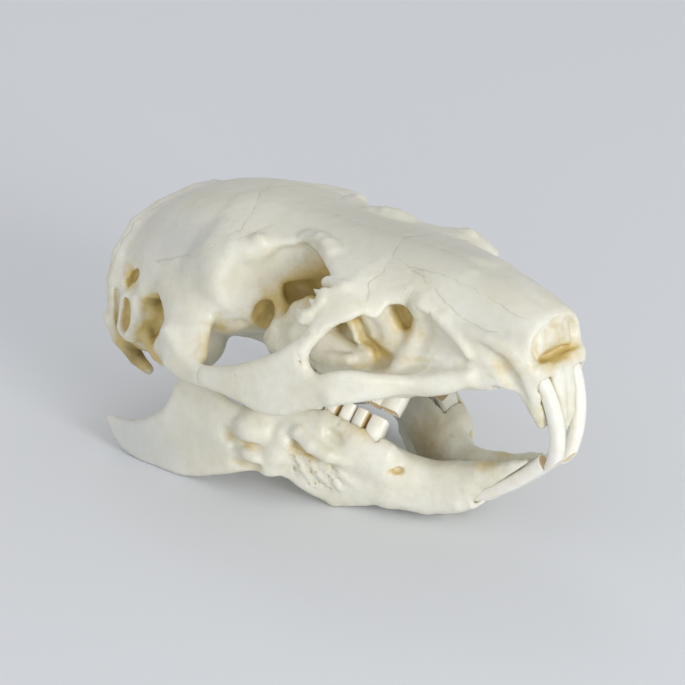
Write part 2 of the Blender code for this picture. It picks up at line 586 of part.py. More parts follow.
INCISOR_OUTLINE = ((-0.88, -0.45), (-0.5, -0.94), (0.5, -0.94), (0.88, -0.45),
                   (0.88, 0.45), (0.5, 0.94), (-0.5, 0.94), (-0.88, 0.45))
CHEEK_OUTLINE = ((-1.8, -1.0), (-0.35, -1.15), (0.0, -0.8), (0.35, -1.15), (1.8, -1.0), (1.8, 1.0),
                 (0.5, 1.15), (0.12, -0.35), (-0.12, -0.35), (-0.5, 1.15), (-1.8, 1.0))
CHEEK_WIDE = 1.15
CHEEK_PITCH = 3.9
PREMOLAR_EXTRA = 0.6
CHEEK_NAMES = ("premolar_4", "molar_1", "molar_2", "molar_3")


def cheek_outline(n):
    """Outline of the n-th tooth of a row: the first one's front half is longer."""
    extra = PREMOLAR_EXTRA if n == 0 else 0.0
    return tuple((u - n * CHEEK_PITCH + (extra if u > 0.5 else 0.0), w) for u, w in CHEEK_OUTLINE)


def grown(outline, by):
    """An outline with every point moved outwards by the same amount along each axis."""
    return tuple((u + math.copysign(by, u), w + math.copysign(by, w)) for u, w in outline)


def spun_tooth(outline, radius, start, stop, steps, place, cut=None):
    """A curved tooth: its outline spun about its own axis, then put in place.

    The axis is local X and the angle is measured from Y towards Z, in degrees.
    cut is a plane (point, normal) in the same local frame; what lies beyond it is worn away.
    """
    shape = bmesh.new()
    ring = [shape.verts.new((u, radius + w, 0)) for u, w in outline]
    face = shape.faces.new(ring)
    first = Matrix.Rotation(math.radians(start), 4, "X")
    bmesh.ops.transform(shape, matrix=first, verts=shape.verts[:])
    bmesh.ops.spin(shape, geom=[face], cent=(0, 0, 0), axis=(1, 0, 0),
                   angle=math.radians(stop - start), steps=steps, use_duplicate=False)
    if cut:
        point, normal = cut
        bmesh.ops.bisect_plane(shape, geom=shape.verts[:] + shape.edges[:] + shape.faces[:],
                               dist=1e-5, plane_co=point, plane_no=normal, clear_outer=True)
        rim = [e for e in shape.edges if e.is_boundary]
        bmesh.ops.holes_fill(shape, edges=rim, sides=0)
    to_metres = Matrix.Scale(MM, 4) @ Matrix.Translation((-MIDDLE, 0, 0))
    bmesh.ops.transform(shape, matrix=to_metres @ place, verts=shape.verts[:])
    bmesh.ops.recalc_face_normals(shape, faces=shape.faces[:])
    return shape


def to_object(shape, name, where, look=None):
    mesh = bpy.data.meshes.new(name)
    shape.to_mesh(mesh)
    shape.free()
    piece = bpy.data.objects.new(name, mesh)
    where.objects.link(piece)
    if look:
        mesh.materials.append(look)
        mesh.shade_smooth()
        mesh.set_sharp_from_angle(angle=math.radians(40))
    return piece


def mirrored(place, side):
    return Matrix.Diagonal((1, side, 1, 1)) @ place


def row_place(origin, spread, rise):
    """Frame of a tooth row: X along the row to the front, Y outwards, Z up."""
    turn = Matrix.Rotation(math.radians(-spread), 4, "Z") @ Matrix.Rotation(math.radians(rise), 4, "Y")
    return Matrix.Translation(origin) @ turn


def incisor_place(centre, out, tilt, yaw):
    """Frame of an incisor: its axis lies across the skull, its radius points forward."""
    across = Matrix(((0, 1, 0, 0), (-1, 0, 0, 0), (0, 0, 1, 0), (0, 0, 0, 1)))
    turn = Matrix.Rotation(math.radians(tilt), 4, "X") @ Matrix.Rotation(math.radians(yaw), 4, "Z")
    return Matrix.Translation((centre[0], out, centre[1])) @ turn @ across


# Each incisor: arc centre (x, z), how far out it lies there, tilt, yaw, radius, root, tip, worn tip
INCISORS = {
    "upper": ((22.4, 17.0), 1.9, -9.0, 0.0, 12.5, 37.0, -27.0, ((0, 11.5, -5.4), (0, 0.75, -0.66))),
    "lower": ((9.0, 33.7), 2.35, 0.0, -3.1, 32.0, -75.5, -41.0, ((0, 23.2, -21.5), (0, 0.866, 0.5))),
}

# Each row: axis of the first tooth, spread, rise, radius, root angle, tip angle, worn plane
ROWS = {
    "upper": ((12.85, 9.49, 19.3), 13.0, 11.0, 6.0, 181.0, 246.0, ((0, -2.42, -4.32), (0, 0.707, -0.707))),
    "lower": ((7.2, 1.79, 8.72), 13.0, 14.0, 6.0, -14.0, 62.0, ((0, 5.24, 4.72), (0, -0.707, 0.707))),
}


def add_incisors(parts, cutters, look):
    """Four incisors, and a cutter for each one's socket."""
    sockets = {"upper": [], "lower": []}
    for jaw, (centre, out, tilt, yaw, radius, root, tip, worn) in INCISORS.items():
        for side, word in ((-1, "right"), (1, "left")):
            place = mirrored(incisor_place(centre, out, tilt, yaw), side)
            name = f"{jaw}_incisor_{word}"
            to_object(spun_tooth(INCISOR_OUTLINE, radius, root, tip, 7, place, worn), name, parts, look)
            deeper = root + math.copysign(math.degrees(CLEARANCE / radius), root - tip)
            hole = spun_tooth(grown(INCISOR_OUTLINE, CLEARANCE), radius, deeper, tip, 7, place)
            sockets[jaw].append(to_object(hole, name + "_socket", cutters))
    return sockets


def add_cheek_teeth(parts, cutters, look):
    """Four cheek teeth a row, and one cutter a row for the trough that they stand in."""
    troughs = {"upper": [], "lower": []}
    half = CHEEK_WIDE + CLEARANCE
    front = max(u for u, w in cheek_outline(0)) + CLEARANCE
    back = min(u for u, w in cheek_outline(len(CHEEK_NAMES) - 1)) - CLEARANCE
    trough = ((back, -half), (front, -half), (front, half), (back, half))
    for jaw, (origin, spread, rise, radius, root, tip, worn) in ROWS.items():
        way = math.copysign(1, tip - root)
        for side, word in ((-1, "right"), (1, "left")):
            place = mirrored(row_place(origin, spread, rise), side)
            for n, kind in enumerate(CHEEK_NAMES):
                tooth = spun_tooth(cheek_outline(n), radius, root, tip, 3, place, worn)
                to_object(tooth, f"{jaw}_{kind}_{word}", parts, look)
            hole = spun_tooth(trough, radius, root - 3 * way, tip + 12 * way, 6, place)
            troughs[jaw].append(to_object(hole, f"{jaw}_trough_{word}", cutters))
    return troughs


def material(name, colour, roughness):
    made = bpy.data.materials.new(name)
    made.use_nodes = True
    shader = made.node_tree.nodes["Principled BSDF"]
    shader.inputs["Base Color"].default_value = (*colour, 1)
    shader.inputs["Roughness"].default_value = roughness
    shader.inputs["Metallic"].default_value = 0.0
    return made


def clear_scene():
    for item in list(bpy.data.objects):
        bpy.data.objects.remove(item, do_unlink=True)


def collection(name):
    made = bpy.data.collections.new(name)
    bpy.context.scene.collection.children.link(made)
    return made


def cut_away(piece, tool):
    """Take the tool's shape out of the piece."""
    tool.hide_render = True
    tool.display_type = "WIRE"
    cut = piece.modifiers.new("Cut " + tool.name, "BOOLEAN")
    cut.operation = "DIFFERENCE"
    cut.solver = "EXACT"
    cut.object = tool


def add_bone(name, bone, triangles, parts, look):
    mesh = mesh_of(bone, name)
    piece = bpy.data.objects.new(name, mesh)
    parts.objects.link(piece)
    mesh.materials.append(look)
    mesh.shade_smooth()
    thin = piece.modifiers.new("Fewer faces", "DECIMATE")
    thin.ratio = min(1.0, triangles / (2 * len(mesh.polygons)))
    return piece


def add_floor(cutters):
    """A block below z = 0, which gives the jaw its resting faces."""
    shape = bmesh.new()
    bmesh.ops.create_cube(shape, size=1)
    size = Vector((90, 60, 10)) * MM
    bmesh.ops.scale(shape, vec=size, verts=shape.verts[:])
    bmesh.ops.translate(shape, vec=(0, 0, -size.z / 2), verts=shape.verts[:])
    return to_object(shape, "below_floor", cutters)


def main():
    clear_scene()
    parts = collection("guinea_pig_skull")
    cutters = collection("cutters")
    bone_look = material("bone", (0.80, 0.77, 0.66), 0.5)
    tooth_look = material("tooth", (0.84, 0.81, 0.70), 0.35)
    cranium = add_bone("cranium", cranium_field(GRID), CRANIUM_TRIANGLES, parts, bone_look)
    mandible = add_bone("mandible", mandible_field(GRID), MANDIBLE_TRIANGLES, parts, bone_look)
    for found in (add_incisors(parts, cutters, tooth_look), add_cheek_teeth(parts, cutters, tooth_look)):
        for tool in found["upper"]:
            cut_away(cranium, tool)
        for tool in found["lower"]:
            cut_away(mandible, tool)
    cut_away(mandible, add_floor(cutters))


main()
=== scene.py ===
"""Guinea pig skull: finely shaped bones and teeth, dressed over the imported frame.

Lengths are millimetres: X runs forward to the nose, Y to the animal's left, Z up, floor at 0.
Their X starts MIDDLE behind the middle of the finished skull, and every piece is moved there.

Each bone is a field of distances on a fine grid, from the mid plane outwards. Rounded solids
are merged into it or cut out of it, and its skin is the surface where the distance is zero.
"""

import math
import random

import bmesh
import bpy
import numpy as np
from mathutils import Euler, Matrix, Vector, noise


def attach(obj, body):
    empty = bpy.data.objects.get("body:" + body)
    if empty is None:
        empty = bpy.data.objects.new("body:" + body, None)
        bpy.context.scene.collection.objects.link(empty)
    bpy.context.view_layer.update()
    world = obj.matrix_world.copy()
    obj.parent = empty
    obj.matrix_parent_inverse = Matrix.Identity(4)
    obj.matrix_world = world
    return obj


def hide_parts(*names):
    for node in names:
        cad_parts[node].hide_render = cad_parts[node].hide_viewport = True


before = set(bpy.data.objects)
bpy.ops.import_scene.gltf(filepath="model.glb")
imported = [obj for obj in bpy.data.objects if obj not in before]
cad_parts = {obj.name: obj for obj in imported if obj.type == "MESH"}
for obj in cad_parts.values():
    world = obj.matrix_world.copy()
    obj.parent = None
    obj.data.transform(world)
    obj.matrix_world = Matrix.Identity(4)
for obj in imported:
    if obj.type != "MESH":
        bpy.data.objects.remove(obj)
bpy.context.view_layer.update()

MM = 0.001
MIDDLE = 1.43

# Step of each bone's grid, and the lowest and highest corner of the half that it covers
CRANIUM_GRID = 0.34
MANDIBLE_GRID = 0.27
CRANIUM_LOW = (-35.0, 0.0, 5.0)
CRANIUM_HIGH = (37.0, 21.0, 37.0)
MANDIBLE_LOW = (-31.0, 0.0, -3.0)
MANDIBLE_HIGH = (36.0, 19.0, 18.0)

# What a field holds where no shape reaches, and just inside a skin that is mended
FAR = 9.0
JUST_INSIDE = -0.05

# Rounding where two stretches of a bar meet, and at the ends of the trunk
BAR_JOINT = 0.3
TRUNK_END = 1.5

# Steps of a plate's curved edge from each of its corners to the next
OUTLINE_STEPS = 3

# Gap between a tooth and the bone that holds it
SOCKET = 0.12


# Fields of distance

def merge(a, b, soft):
    """The smaller of two distances, rounded where they meet."""
    if soft <= 0:
        return np.minimum(a, b)
    h = np.maximum(soft - np.abs(a - b), 0.0) / soft
    return np.minimum(a, b) - h * h * soft * 0.25


def rounded(offsets, radii, power=2.0):
    """Distance to a rounded body whose half sizes are radii: 2 is an ellipsoid, more is boxier."""
    ratio = [np.abs(q) / r for q, r in zip(offsets, radii)]
    norm = sum(q ** power for q in ratio) ** (1.0 / power)
    norm = np.maximum(norm, 1e-4)
    slope = sum((q ** (power - 1.0) / r) ** 2 for q, r in zip(ratio, radii))
    slope = np.sqrt(np.maximum(slope, 1e-9)) * norm ** (1.0 - power)
    return (norm - 1.0) / slope


def ellipsoid(centre, radii, turn=(0, 0, 0)):
    """An ellipsoid, turned about X, Y and Z by degrees."""
    spin = np.array(Euler([math.radians(t) for t in turn]).to_matrix())
    reach = np.abs(spin) @ np.array(radii)

    def distance(x, y, z):
        offset = (x - centre[0], y - centre[1], z - centre[2])
        local = [sum(spin[row][col] * offset[row] for row in range(3)) for col in range(3)]
        return rounded(local, radii)

    return distance, np.array(centre) - reach, np.array(centre) + reach


def bar(points, high, thick=None, up=(0, 0, 1), power=2.0):
    """A tapering bar through the points: high is its half size towards up, thick the one across.

    Each has one value in all or one a point. Without thick the bar is as thick as it is high.
    """
    points = np.array(points, float)
    count = len(points)
    high = np.broadcast_to(high, count)
    thick = high if thick is None else np.broadcast_to(thick, count)
    size = max(high.max(), thick.max())

    def distance(x, y, z):
        nearest = None
        for i in range(count - 1):
            a, b = points[i], points[i + 1]
            along = b - a
            length = np.linalg.norm(along)
            along = along / length
            lift = np.array(up, float) - along * np.dot(up, along)
            lift = lift / np.linalg.norm(lift)
            side = np.cross(along, lift)
            offset = (x - a[0], y - a[1], z - a[2])
            run = sum(o * c for o, c in zip(offset, along))
            share = np.clip(run / length, 0.0, 1.0)
            tall = high[i] + (high[i + 1] - high[i]) * share
            wide = thick[i] + (thick[i + 1] - thick[i]) * share
            rest = run - share * length
            rise = sum(o * c for o, c in zip(offset, lift))
            out = sum(o * c for o, c in zip(offset, side))
            here = rounded((rest, rise, out), (np.minimum(tall, wide), tall, wide), power)
            nearest = here if nearest is None else merge(nearest, here, BAR_JOINT)
        return nearest

    return distance, points.min(0) - size, points.max(0) + size


def half_space(point, normal):
    """Everything on the far side of a plane, the side that its normal points to."""
    def distance(x, y, z):
        return -sum((q - p) * n for q, p, n in zip((x, y, z), point, normal))

    return distance, np.full(3, -np.inf), np.full(3, np.inf)


def flow(at, known, values):
    """A smooth curve through the known values."""
    known = np.array(known, float)
    values = np.array(values, float)
    slopes = np.gradient(values, known)
    at = np.clip(at, known[0], known[-1])
    i = np.clip(np.searchsorted(known, at) - 1, 0, len(known) - 2)
    width = known[i + 1] - known[i]
    t = (at - known[i]) / width
    start = (1 + 2 * t) * (1 - t) ** 2 * values[i] + t * (1 - t) ** 2 * width * slopes[i]
    end = t * t * (3 - 2 * t) * values[i + 1] + t * t * (t - 1) * width * slopes[i + 1]
    return start + end


def trunk(stations):
    """A body along X. A station is x, centre z, half width, height up, height down, power."""
    table = np.array(stations, float)

    def distance(x, y, z):
        middle, wide, rise, drop, power = [flow(x, table[:, 0], table[:, n]) for n in range(1, 6)]
        height = np.where(z > middle, rise, drop)
        around = rounded((y, z - middle), (wide, height), power)
        ends = np.maximum(table[0, 0] - x, x - table[-1, 0])
        return -merge(-around, -ends, TRUNK_END)

    low = (table[0, 0], 0.0, (table[:, 1] - table[:, 4]).min())
    high = (table[-1, 0], table[:, 2].max(), (table[:, 1] + table[:, 3]).max())
    return distance, np.array(low), np.array(high)


def smooth_outline(corners):
    """A closed outline that curves gently through the corners."""
    corners = np.array(corners, float)
    before, after = np.roll(corners, 1, 0), np.roll(corners, -1, 0)
    beyond = np.roll(corners, -2, 0)
    rows = []
    for t in np.arange(OUTLINE_STEPS) / OUTLINE_STEPS:
        rows.append(0.5 * (2 * corners + (after - before) * t
                           + (2 * before - 5 * corners + 4 * after - beyond) * t * t
                           + (3 * corners - before - 3 * after + beyond) * t ** 3))
    return np.stack(rows, 1).reshape(-1, 2)


def outline_distance(u, v, outline):
    """Distance to a closed outline in a plane, negative inside it."""
    nearest = np.full(np.broadcast(u, v).shape, 1e9)
    inside = np.zeros(nearest.shape, bool)
    for a, b in zip(outline, np.roll(outline, -1, 0)):
        edge = b - a
        share = ((u - a[0]) * edge[0] + (v - a[1]) * edge[1]) / max(edge @ edge, 1e-12)
        share = np.clip(share, 0, 1)
        gap = (u - a[0] - share * edge[0]) ** 2 + (v - a[1] - share * edge[1]) ** 2
        nearest = np.minimum(nearest, gap)
        crosses = (a[1] > v) != (b[1] > v)
        rise = edge[1] if abs(edge[1]) > 1e-12 else 1e-12
        inside ^= crosses & (u < a[0] + (v - a[1]) * edge[0] / rise)
    return np.where(inside, -1.0, 1.0) * np.sqrt(nearest)


def side_plate(corners, middle, half, soft):
    """A plate seen from the side: corners are (x, z), middle gives its y, half its half thickness."""
    outline = smooth_outline(corners)

    def distance(x, y, z):
        centre = middle(x, z)
        slopes = np.gradient(centre, x.ravel(), z.ravel(), axis=(0, 2))
        lean = np.sqrt(1 + sum(slope ** 2 for slope in slopes))
        across = np.abs(y - centre) / lean - half(x, z)
        return -merge(-outline_distance(x, z, outline), -across, soft)

    low = (outline[:, 0].min(), 0.0, outline[:, 1].min())
    high = (outline[:, 0].max(), 21.0, outline[:, 1].max())
    return distance, np.array(low), np.array(high)


def roof_plate(corners, middle, half, soft):
    """A plate seen from above: corners are (x, y), middle gives its z, half its half thickness."""
    outline = smooth_outline(corners)

    def distance(x, y, z):
        across = np.abs(z - middle(x, y)) - half
        return -merge(-outline_distance(x, y, outline), -across, soft)

    low = (outline[:, 0].min(), outline[:, 1].min(), 20.0)
    high = (outline[:, 0].max(), outline[:, 1].max(), 37.0)
    return distance, np.array(low), np.array(high)


class Bone:
    """One half of a bone, as distances on a grid from the mid plane outwards."""

    def __init__(self, low, high, step):
        self.step = step
        self.low = np.array(low)
        self.axes = [np.arange(a, b + step, step) for a, b in zip(low, high)]
        self.value = np.full([len(axis) for axis in self.axes], FAR)

    def block(self, shape, reach):
        """The part of the grid that a shape reaches, and its coordinates."""
        distance, low, high = shape
        spans = []
        for axis, a, b in zip(self.axes, low, high):
            first = max(np.searchsorted(axis, a - reach) - 1, 0)
            spans.append(slice(first, np.searchsorted(axis, b + reach) + 1))
        x, y, z = [axis[span] for axis, span in zip(self.axes, spans)]
        return tuple(spans), distance(x[:, None, None], y[None, :, None], z[None, None, :])

    def add(self, shape, soft):
        """Merge a shape into the bone, rounding the corner between them."""
        span, distance = self.block(shape, soft + 1.0)
        self.value[span] = merge(self.value[span], distance, soft)

    def cut(self, shape, soft):
        """Cut a shape out of the bone, rounding the edge that it leaves."""
        span, distance = self.block(shape, soft + 1.0)
        self.value[span] = -merge(-self.value[span], distance, soft)


# From a field to a mesh

# Corners of a cube of the grid, pairs of corners with an edge between them, corners of each face
CORNERS = np.array([(i & 1, i >> 1 & 1, i >> 2) for i in range(8)])
EDGES = [(a, b) for a in range(8) for b in range(a) if bin(a ^ b).count("1") == 1]
FACES = [[n for n in range(8) if CORNERS[n][axis] == side] for axis in range(3) for side in (0, 1)]


def groups_of(members, beside):
    """The connected groups among the members, where beside lists all neighbours of one."""
    left, groups = set(members), []
    while left:
        wave = [left.pop()]
        group = set(wave)
        while wave:
            near = [n for n in beside(wave.pop()) if n in left]
            left.difference_update(near)
            group.update(near)
            wave.extend(near)
        groups.append(group)
    return groups


def is_pinched(code):
    """True where the skin through a cube of the grid would touch itself."""
    for side in (0, 1):
        members = [n for n in range(8) if code >> n & 1 == side]
        if len(groups_of(members, lambda n: (n ^ 1, n ^ 2, n ^ 4))) > 1:
            return True
    for face in FACES:
        a, b, c, d = [code >> n & 1 for n in face]
        if a == d and b == c and a != b:
            return True
    return False


PINCHED = np.array([is_pinched(code) for code in range(256)])


def cube_codes(value):
    """For every cube of the grid, which of its eight corners lie inside, as the bits of a number."""
    nx, ny, nz = [n - 1 for n in value.shape]
    codes = np.zeros((nx, ny, nz), np.uint8)
    for n, (i, j, k) in enumerate(CORNERS):
        codes |= (value[i:nx + i, j:ny + j, k:nz + k] < 0).astype(np.uint8) << n
    return codes


def at_spots(grid, spots):
    """What the grid holds at the spots, each of them three whole numbers in a row."""
    return grid[tuple(np.moveaxis(spots, -1, 0))]


def unpinch(value):
    """Fill grid points until the skin touches itself nowhere."""
    for _ in range(40):
        cells = np.argwhere(PINCHED[cube_codes(value)])
        if not len(cells):
            break
        spots = cells[:, None, :] + CORNERS
        found = at_spots(value, spots)
        outside = np.where(found >= 0, found, np.inf)
        nearest = spots[np.arange(len(cells)), outside.argmin(1)]
        value[tuple(nearest.T)] = JUST_INSIDE


def skin(value, low, step):
    """Corner points and four-sided faces of the surface where the field is zero."""
    codes = cube_codes(value)
    cells = np.argwhere((codes > 0) & (codes < 255))
    number = np.full(codes.shape, -1)
    number[tuple(cells.T)] = np.arange(len(cells))
    total = np.zeros((len(cells), 3))
    hits = np.zeros(len(cells))
    for a, b in EDGES:
        at_a = at_spots(value, cells + CORNERS[a])
        at_b = at_spots(value, cells + CORNERS[b])
        cross = (at_a < 0) != (at_b < 0)
        share = np.where(cross, at_a / np.where(cross, at_a - at_b, 1.0), 0.0)
        spot = CORNERS[a] + share[:, None] * (CORNERS[b] - CORNERS[a])
        total += np.where(cross[:, None], spot, 0.0)
        hits += cross
    points = (cells + total / hits[:, None]) * step + low
    quads = []
    inside = value < 0
    for axis in range(3):
        u, v = (axis + 1) % 3, (axis + 2) % 3
        first = np.moveaxis(inside, axis, 0)[:-1]
        second = np.moveaxis(inside, axis, 0)[1:]
        change = np.moveaxis(first != second, 0, axis)
        spots = np.argwhere(change)
        spots = spots[(spots[:, u] > 0) & (spots[:, v] > 0)]
        ring = []
        for du, dv in ((0, 0), (1, 0), (1, 1), (0, 1)):
            cell = spots.copy()
            cell[:, u] -= du
            cell[:, v] -= dv
            ring.append(at_spots(number, cell))
        ring = np.stack(ring, 1)
        leaving = at_spots(inside, spots)
        quads.append(np.where(leaving[:, None], ring, ring[:, ::-1]))
    return points, np.concatenate(quads)


def both_halves(bone):
    """The field of the whole bone, mirrored in the mid plane, with its lowest corner."""
    whole = np.concatenate([bone.value[:, :0:-1, :], bone.value], 1)
    low = bone.low.copy()
    low[1] = -bone.axes[1][-1]
    whole = np.pad(whole, 1, constant_values=FAR)
    return whole, low - bone.step


def keep_largest(mesh):
    """Drop everything but the largest connected surface."""
    shape = bmesh.new()
    shape.from_mesh(mesh)
    groups = groups_of(shape.verts, lambda vert: [e.other_vert(vert) for e in vert.link_edges])
    groups.sort(key=len)
    spare = [vert for group in groups[:-1] for vert in group]
    bmesh.ops.delete(shape, geom=spare, context="VERTS")
    shape.to_mesh(mesh)
    shape.free()


def sampled(whole, low, step, points):
    """The field at any points, read between the grid's own."""
    spot = np.clip((points - low) / step, 0, np.array(whole.shape) - 1.001)
    cell = spot.astype(int)
    share = spot - cell
    total = np.zeros(len(points))
    for corner in CORNERS:
        weight = np.prod(np.where(corner == 1, share, 1 - share), 1)
        total += weight * at_spots(whole, cell + corner)
    return total


def outward(whole, low, step, points):
    """Unit direction out of the bone at each point."""
    found = []
    for shift in np.identity(3) * 0.8 * step:
        ahead, behind = [sampled(whole, low, step, points + s) for s in (shift, -shift)]
        found.append(ahead - behind)
    way = np.stack(found, 1)
    return way / np.maximum(np.linalg.norm(way, axis=1), 1e-6)[:, None]


# How far out from the skin other bone is felt, and how much it counts there
HOLLOW_REACHES = ((0.8, 0.25), (1.6, 0.3), (3.2, 0.3), (6.0, 0.3))


def hollowness(whole, low, step, points, way):
    """How deep in a hollow each point lies: 0 in the open, about 1 at the bottom of a pit."""
    total = np.zeros(len(points))
    for reach, weight in HOLLOW_REACHES:
        found = sampled(whole, low, step, points + way * reach)
        total += weight * np.clip(1 - found / reach, 0, 1.4)
    return total


def spun_space(outline, radius, start, stop, place):
    """The room that an outline sweeps when it is spun about local X, from start to stop degrees."""
    back = np.array(place.inverted())
    outline = np.array(outline, float)
    low, high = min(start, stop), max(start, stop)
    corners = []
    for angle in np.radians(np.linspace(low, high, 9)):
        for u, w in outline:
            spot = (u, (radius + w) * math.cos(angle), (radius + w) * math.sin(angle), 1)
            corners.append((np.array(place) @ spot)[:3])
    corners = np.array(corners)

    def distance(x, y, z):
        local = [back[i, 0] * x + back[i, 1] * y + back[i, 2] * z + back[i, 3] for i in range(3)]
        reach = np.hypot(local[1], local[2]) - radius
        around = outline_distance(local[0], reach, outline)
        angle = np.degrees(np.arctan2(local[2], local[1]))
        turn = np.abs((angle - (low + high) / 2 + 180) % 360 - 180) - (high - low) / 2
        return np.maximum(around, np.radians(turn) * radius)

    return distance, corners.min(0), corners.max(0)


# Cranium

def arch_side(x, z):
    """How far out the cheek arch lies: it bows out, and leans in where it climbs to the brow."""
    bow = flow(x, (-19, -15, -11, -5, 3, 8, 12.4, 15.6, 18, 21, 26),
               (14.4, 17, 18, 18.3, 17.9, 17, 15.9, 14.1, 11.6, 9, 7))
    lean = np.maximum(z - 24.3, 0) * 0.66
    return bow - lean


def cranium_field(step):
    bone = Bone(CRANIUM_LOW, CRANIUM_HIGH, step)
    add, cut = bone.add, bone.cut

    # Braincase, brow and snout, as one tapering trunk
    add(trunk((
        (-30.6, 22, 9.4, 5.6, 6.5, 2.6),
        (-28.5, 22.8, 10.8, 6.8, 8, 2.5),
        (-25.5, 23.3, 12, 8.5, 9, 2.4),
        (-21, 23.8, 12.8, 9.6, 9.3, 2.3),
        (-16, 24.2, 13, 10.1, 9, 2.3),
        (-11, 24.8, 12.4, 9.7, 8, 2.3),
        (-7, 25.5, 10.6, 8.7, 7.5, 2.3),
        (-3, 26, 8, 7.9, 7.5, 2.3),
        (1, 26.5, 7.2, 7.3, 8, 2.3),
        (5, 26.5, 7.4, 7.3, 8, 2.2),
        (9, 26.5, 8.4, 7.4, 7.5, 2.2),
        (14, 26.8, 9, 7.2, 6.8, 2.5),
        (19, 27, 8.5, 6.9, 6.3, 2.4),
        (24, 26.8, 7.6, 6.4, 5.8, 2.2),
        (28, 26.6, 6.4, 5.8, 5.4, 2.3),
        (31, 26.3, 5.5, 5.2, 4.8, 2.5),
        (33.1, 26.2, 5, 4.6, 4.2, 2.7))), 0.5)

    # Tooth-bearing part of the upper jaw, below and beside the tooth roots
    add(bar(((18.5, 4.4, 20.6), (13.5, 4.8, 19.4), (7, 6, 19.5), (0, 7.3, 20.3), (-3, 7.6, 21)),
            (2.2, 3.2, 3.5, 3.3, 2.6), (2.2, 2.7, 3, 2.9, 2.2), power=2.6), 1.6)

    # Block behind the ear, and the ear capsule below the braincase
    add(ellipsoid((-27, 9, 18.6), (4.3, 3.4, 7)), 1.5)
    add(ellipsoid((-20.5, 8.6, 15.4), (5.6, 4.2, 4.6), (0, 0, -14)), 1.2)

    # Lower edge of the snout, where the lower root of the arch runs out forward
    add(bar(((18, 6.6, 20.9), (22, 6, 21.9), (25.5, 5.2, 22.5), (29, 4.4, 23.2)),
            (1.7, 1.8, 1.8, 1.8), (1.8, 1.8, 1.8, 1.6)), 1.2)

    # Wing plates behind the palate, and the passage of the nose between them
    add(bar(((-1, 3.8, 18.8), (-6, 3.4, 17.2), (-10, 3.9, 16.9), (-13, 4.8, 17.2)),
            (2, 1.7, 1.4, 0.6), 0.8), 1.4)
    cut(ellipsoid((-3.5, 0, 18.6), (4.5, 2.1, 2.6)), 0.8)

    # Sheath of the upper incisor, and the bone between the two
    add(bar(((24, 4.5, 24.2), (28.4, 4.2, 25.6), (31.4, 3.6, 23.9), (32.3, 2.9, 21.4), (32.5, 2.5, 19.4),
             (32.7, 2.1, 17.6)),
            (1.8, 2.3, 2.2, 1.8, 1.4, 0.8), (1.5, 1.8, 1.8, 1.6, 1.3, 1), up=(1, 0, 1)), 1.2)
    add(bar(((28, 0.8, 23.4), (32.4, 0.8, 23), (32.5, 0.7, 20.2)), (2.4, 2.3, 1.4), 1.8), 1)

    # Hollows: eye socket in three, gap between it and the arch, side of the snout, nose opening
    cut(ellipsoid((0.4, 13.3, 26.5), (8.7, 8.3, 6.6), (0, 0, -8)), 1.4)
    cut(ellipsoid((1.6, 7.4, 27.2), (4.2, 3.4, 4)), 1.6)
    cut(ellipsoid((-1.4, 11.2, 29.4), (5.4, 5, 4)), 1.4)
    cut(ellipsoid((0, 14.2, 19.6), (6, 5.6, 4)), 1.5)
    cut(bar(((12, 13.4, 26.8), (18, 11.6, 27), (24.4, 9.2, 25.1)), (4.2, 4.6, 2.2), (6.5, 5.5, 2.5)), 0.3)
    cut(ellipsoid((35.2, 0, 27.5), (5.3, 4.8, 3.2)), 0.4)

    # Brow plate, and the bump behind the eye
    add(roof_plate((
        (-13, 0), (-13, 10), (-9.5, 10.8), (-7, 10.3), (-5, 8.7), (-2.6, 7), (-0.5, 6.7),
        (1, 7.2), (2.8, 8.2), (4.8, 9.4), (6.8, 10.7), (8.6, 11.6), (10.8, 11.7), (13, 11.6),
        (14.4, 10.6), (14.6, 9.2), (16, 7.8), (18.8, 6), (19, 0)),
        lambda x, y: 33.3 - (0.0185 + 0.0055 * np.maximum(x - 10, 0)) * y * y, 0.6, 1), 1.4)
    add(ellipsoid((-11.6, 8.6, 29.6), (4.6, 2.8, 3.2), (0, 0, -10)), 1.2)
    add(bar(((-12.5, 10.9, 30.2), (-9.6, 10.9, 30.6), (-8, 10, 30.4), (-6.6, 8.4, 31.2)),
            (1.2, 1.4, 1.4, 1), (1.2, 1.3, 1.3, 1)), 1.6)

    # Bulge of the temple, tooth roots that bulge into the eye socket, and the holes in its wall
    add(ellipsoid((-12, 10.8, 25), (5, 2.6, 6), (0, 0, -14)), 1.4)
    add(ellipsoid((-10.6, 11.2, 26.6), (3.4, 2.9, 4.2), (0, 0, -10)), 1.2)
    add(bar(((9.5, 9, 20.8), (4.5, 9.4, 21.8), (0.5, 9.2, 21.5), (-2.5, 8.6, 20.4)),
            (1.6, 2.1, 2.1, 1.6), (1.6, 2, 2, 1.6)), 1.2)
    add(ellipsoid((2.4, 8, 23.8), (2.6, 2.2, 2.6)), 1)
    add(ellipsoid((-2.2, 9.2, 20), (3.6, 1.9, 2)), 1)
    cut(ellipsoid((-6.2, 8.7, 22.3), (1.35, 1.9, 2.05)), 0.35)
    cut(ellipsoid((-3.7, 5.4, 24.9), (2.3, 2.4, 1.5), (0, 20, 0)), 0.5)

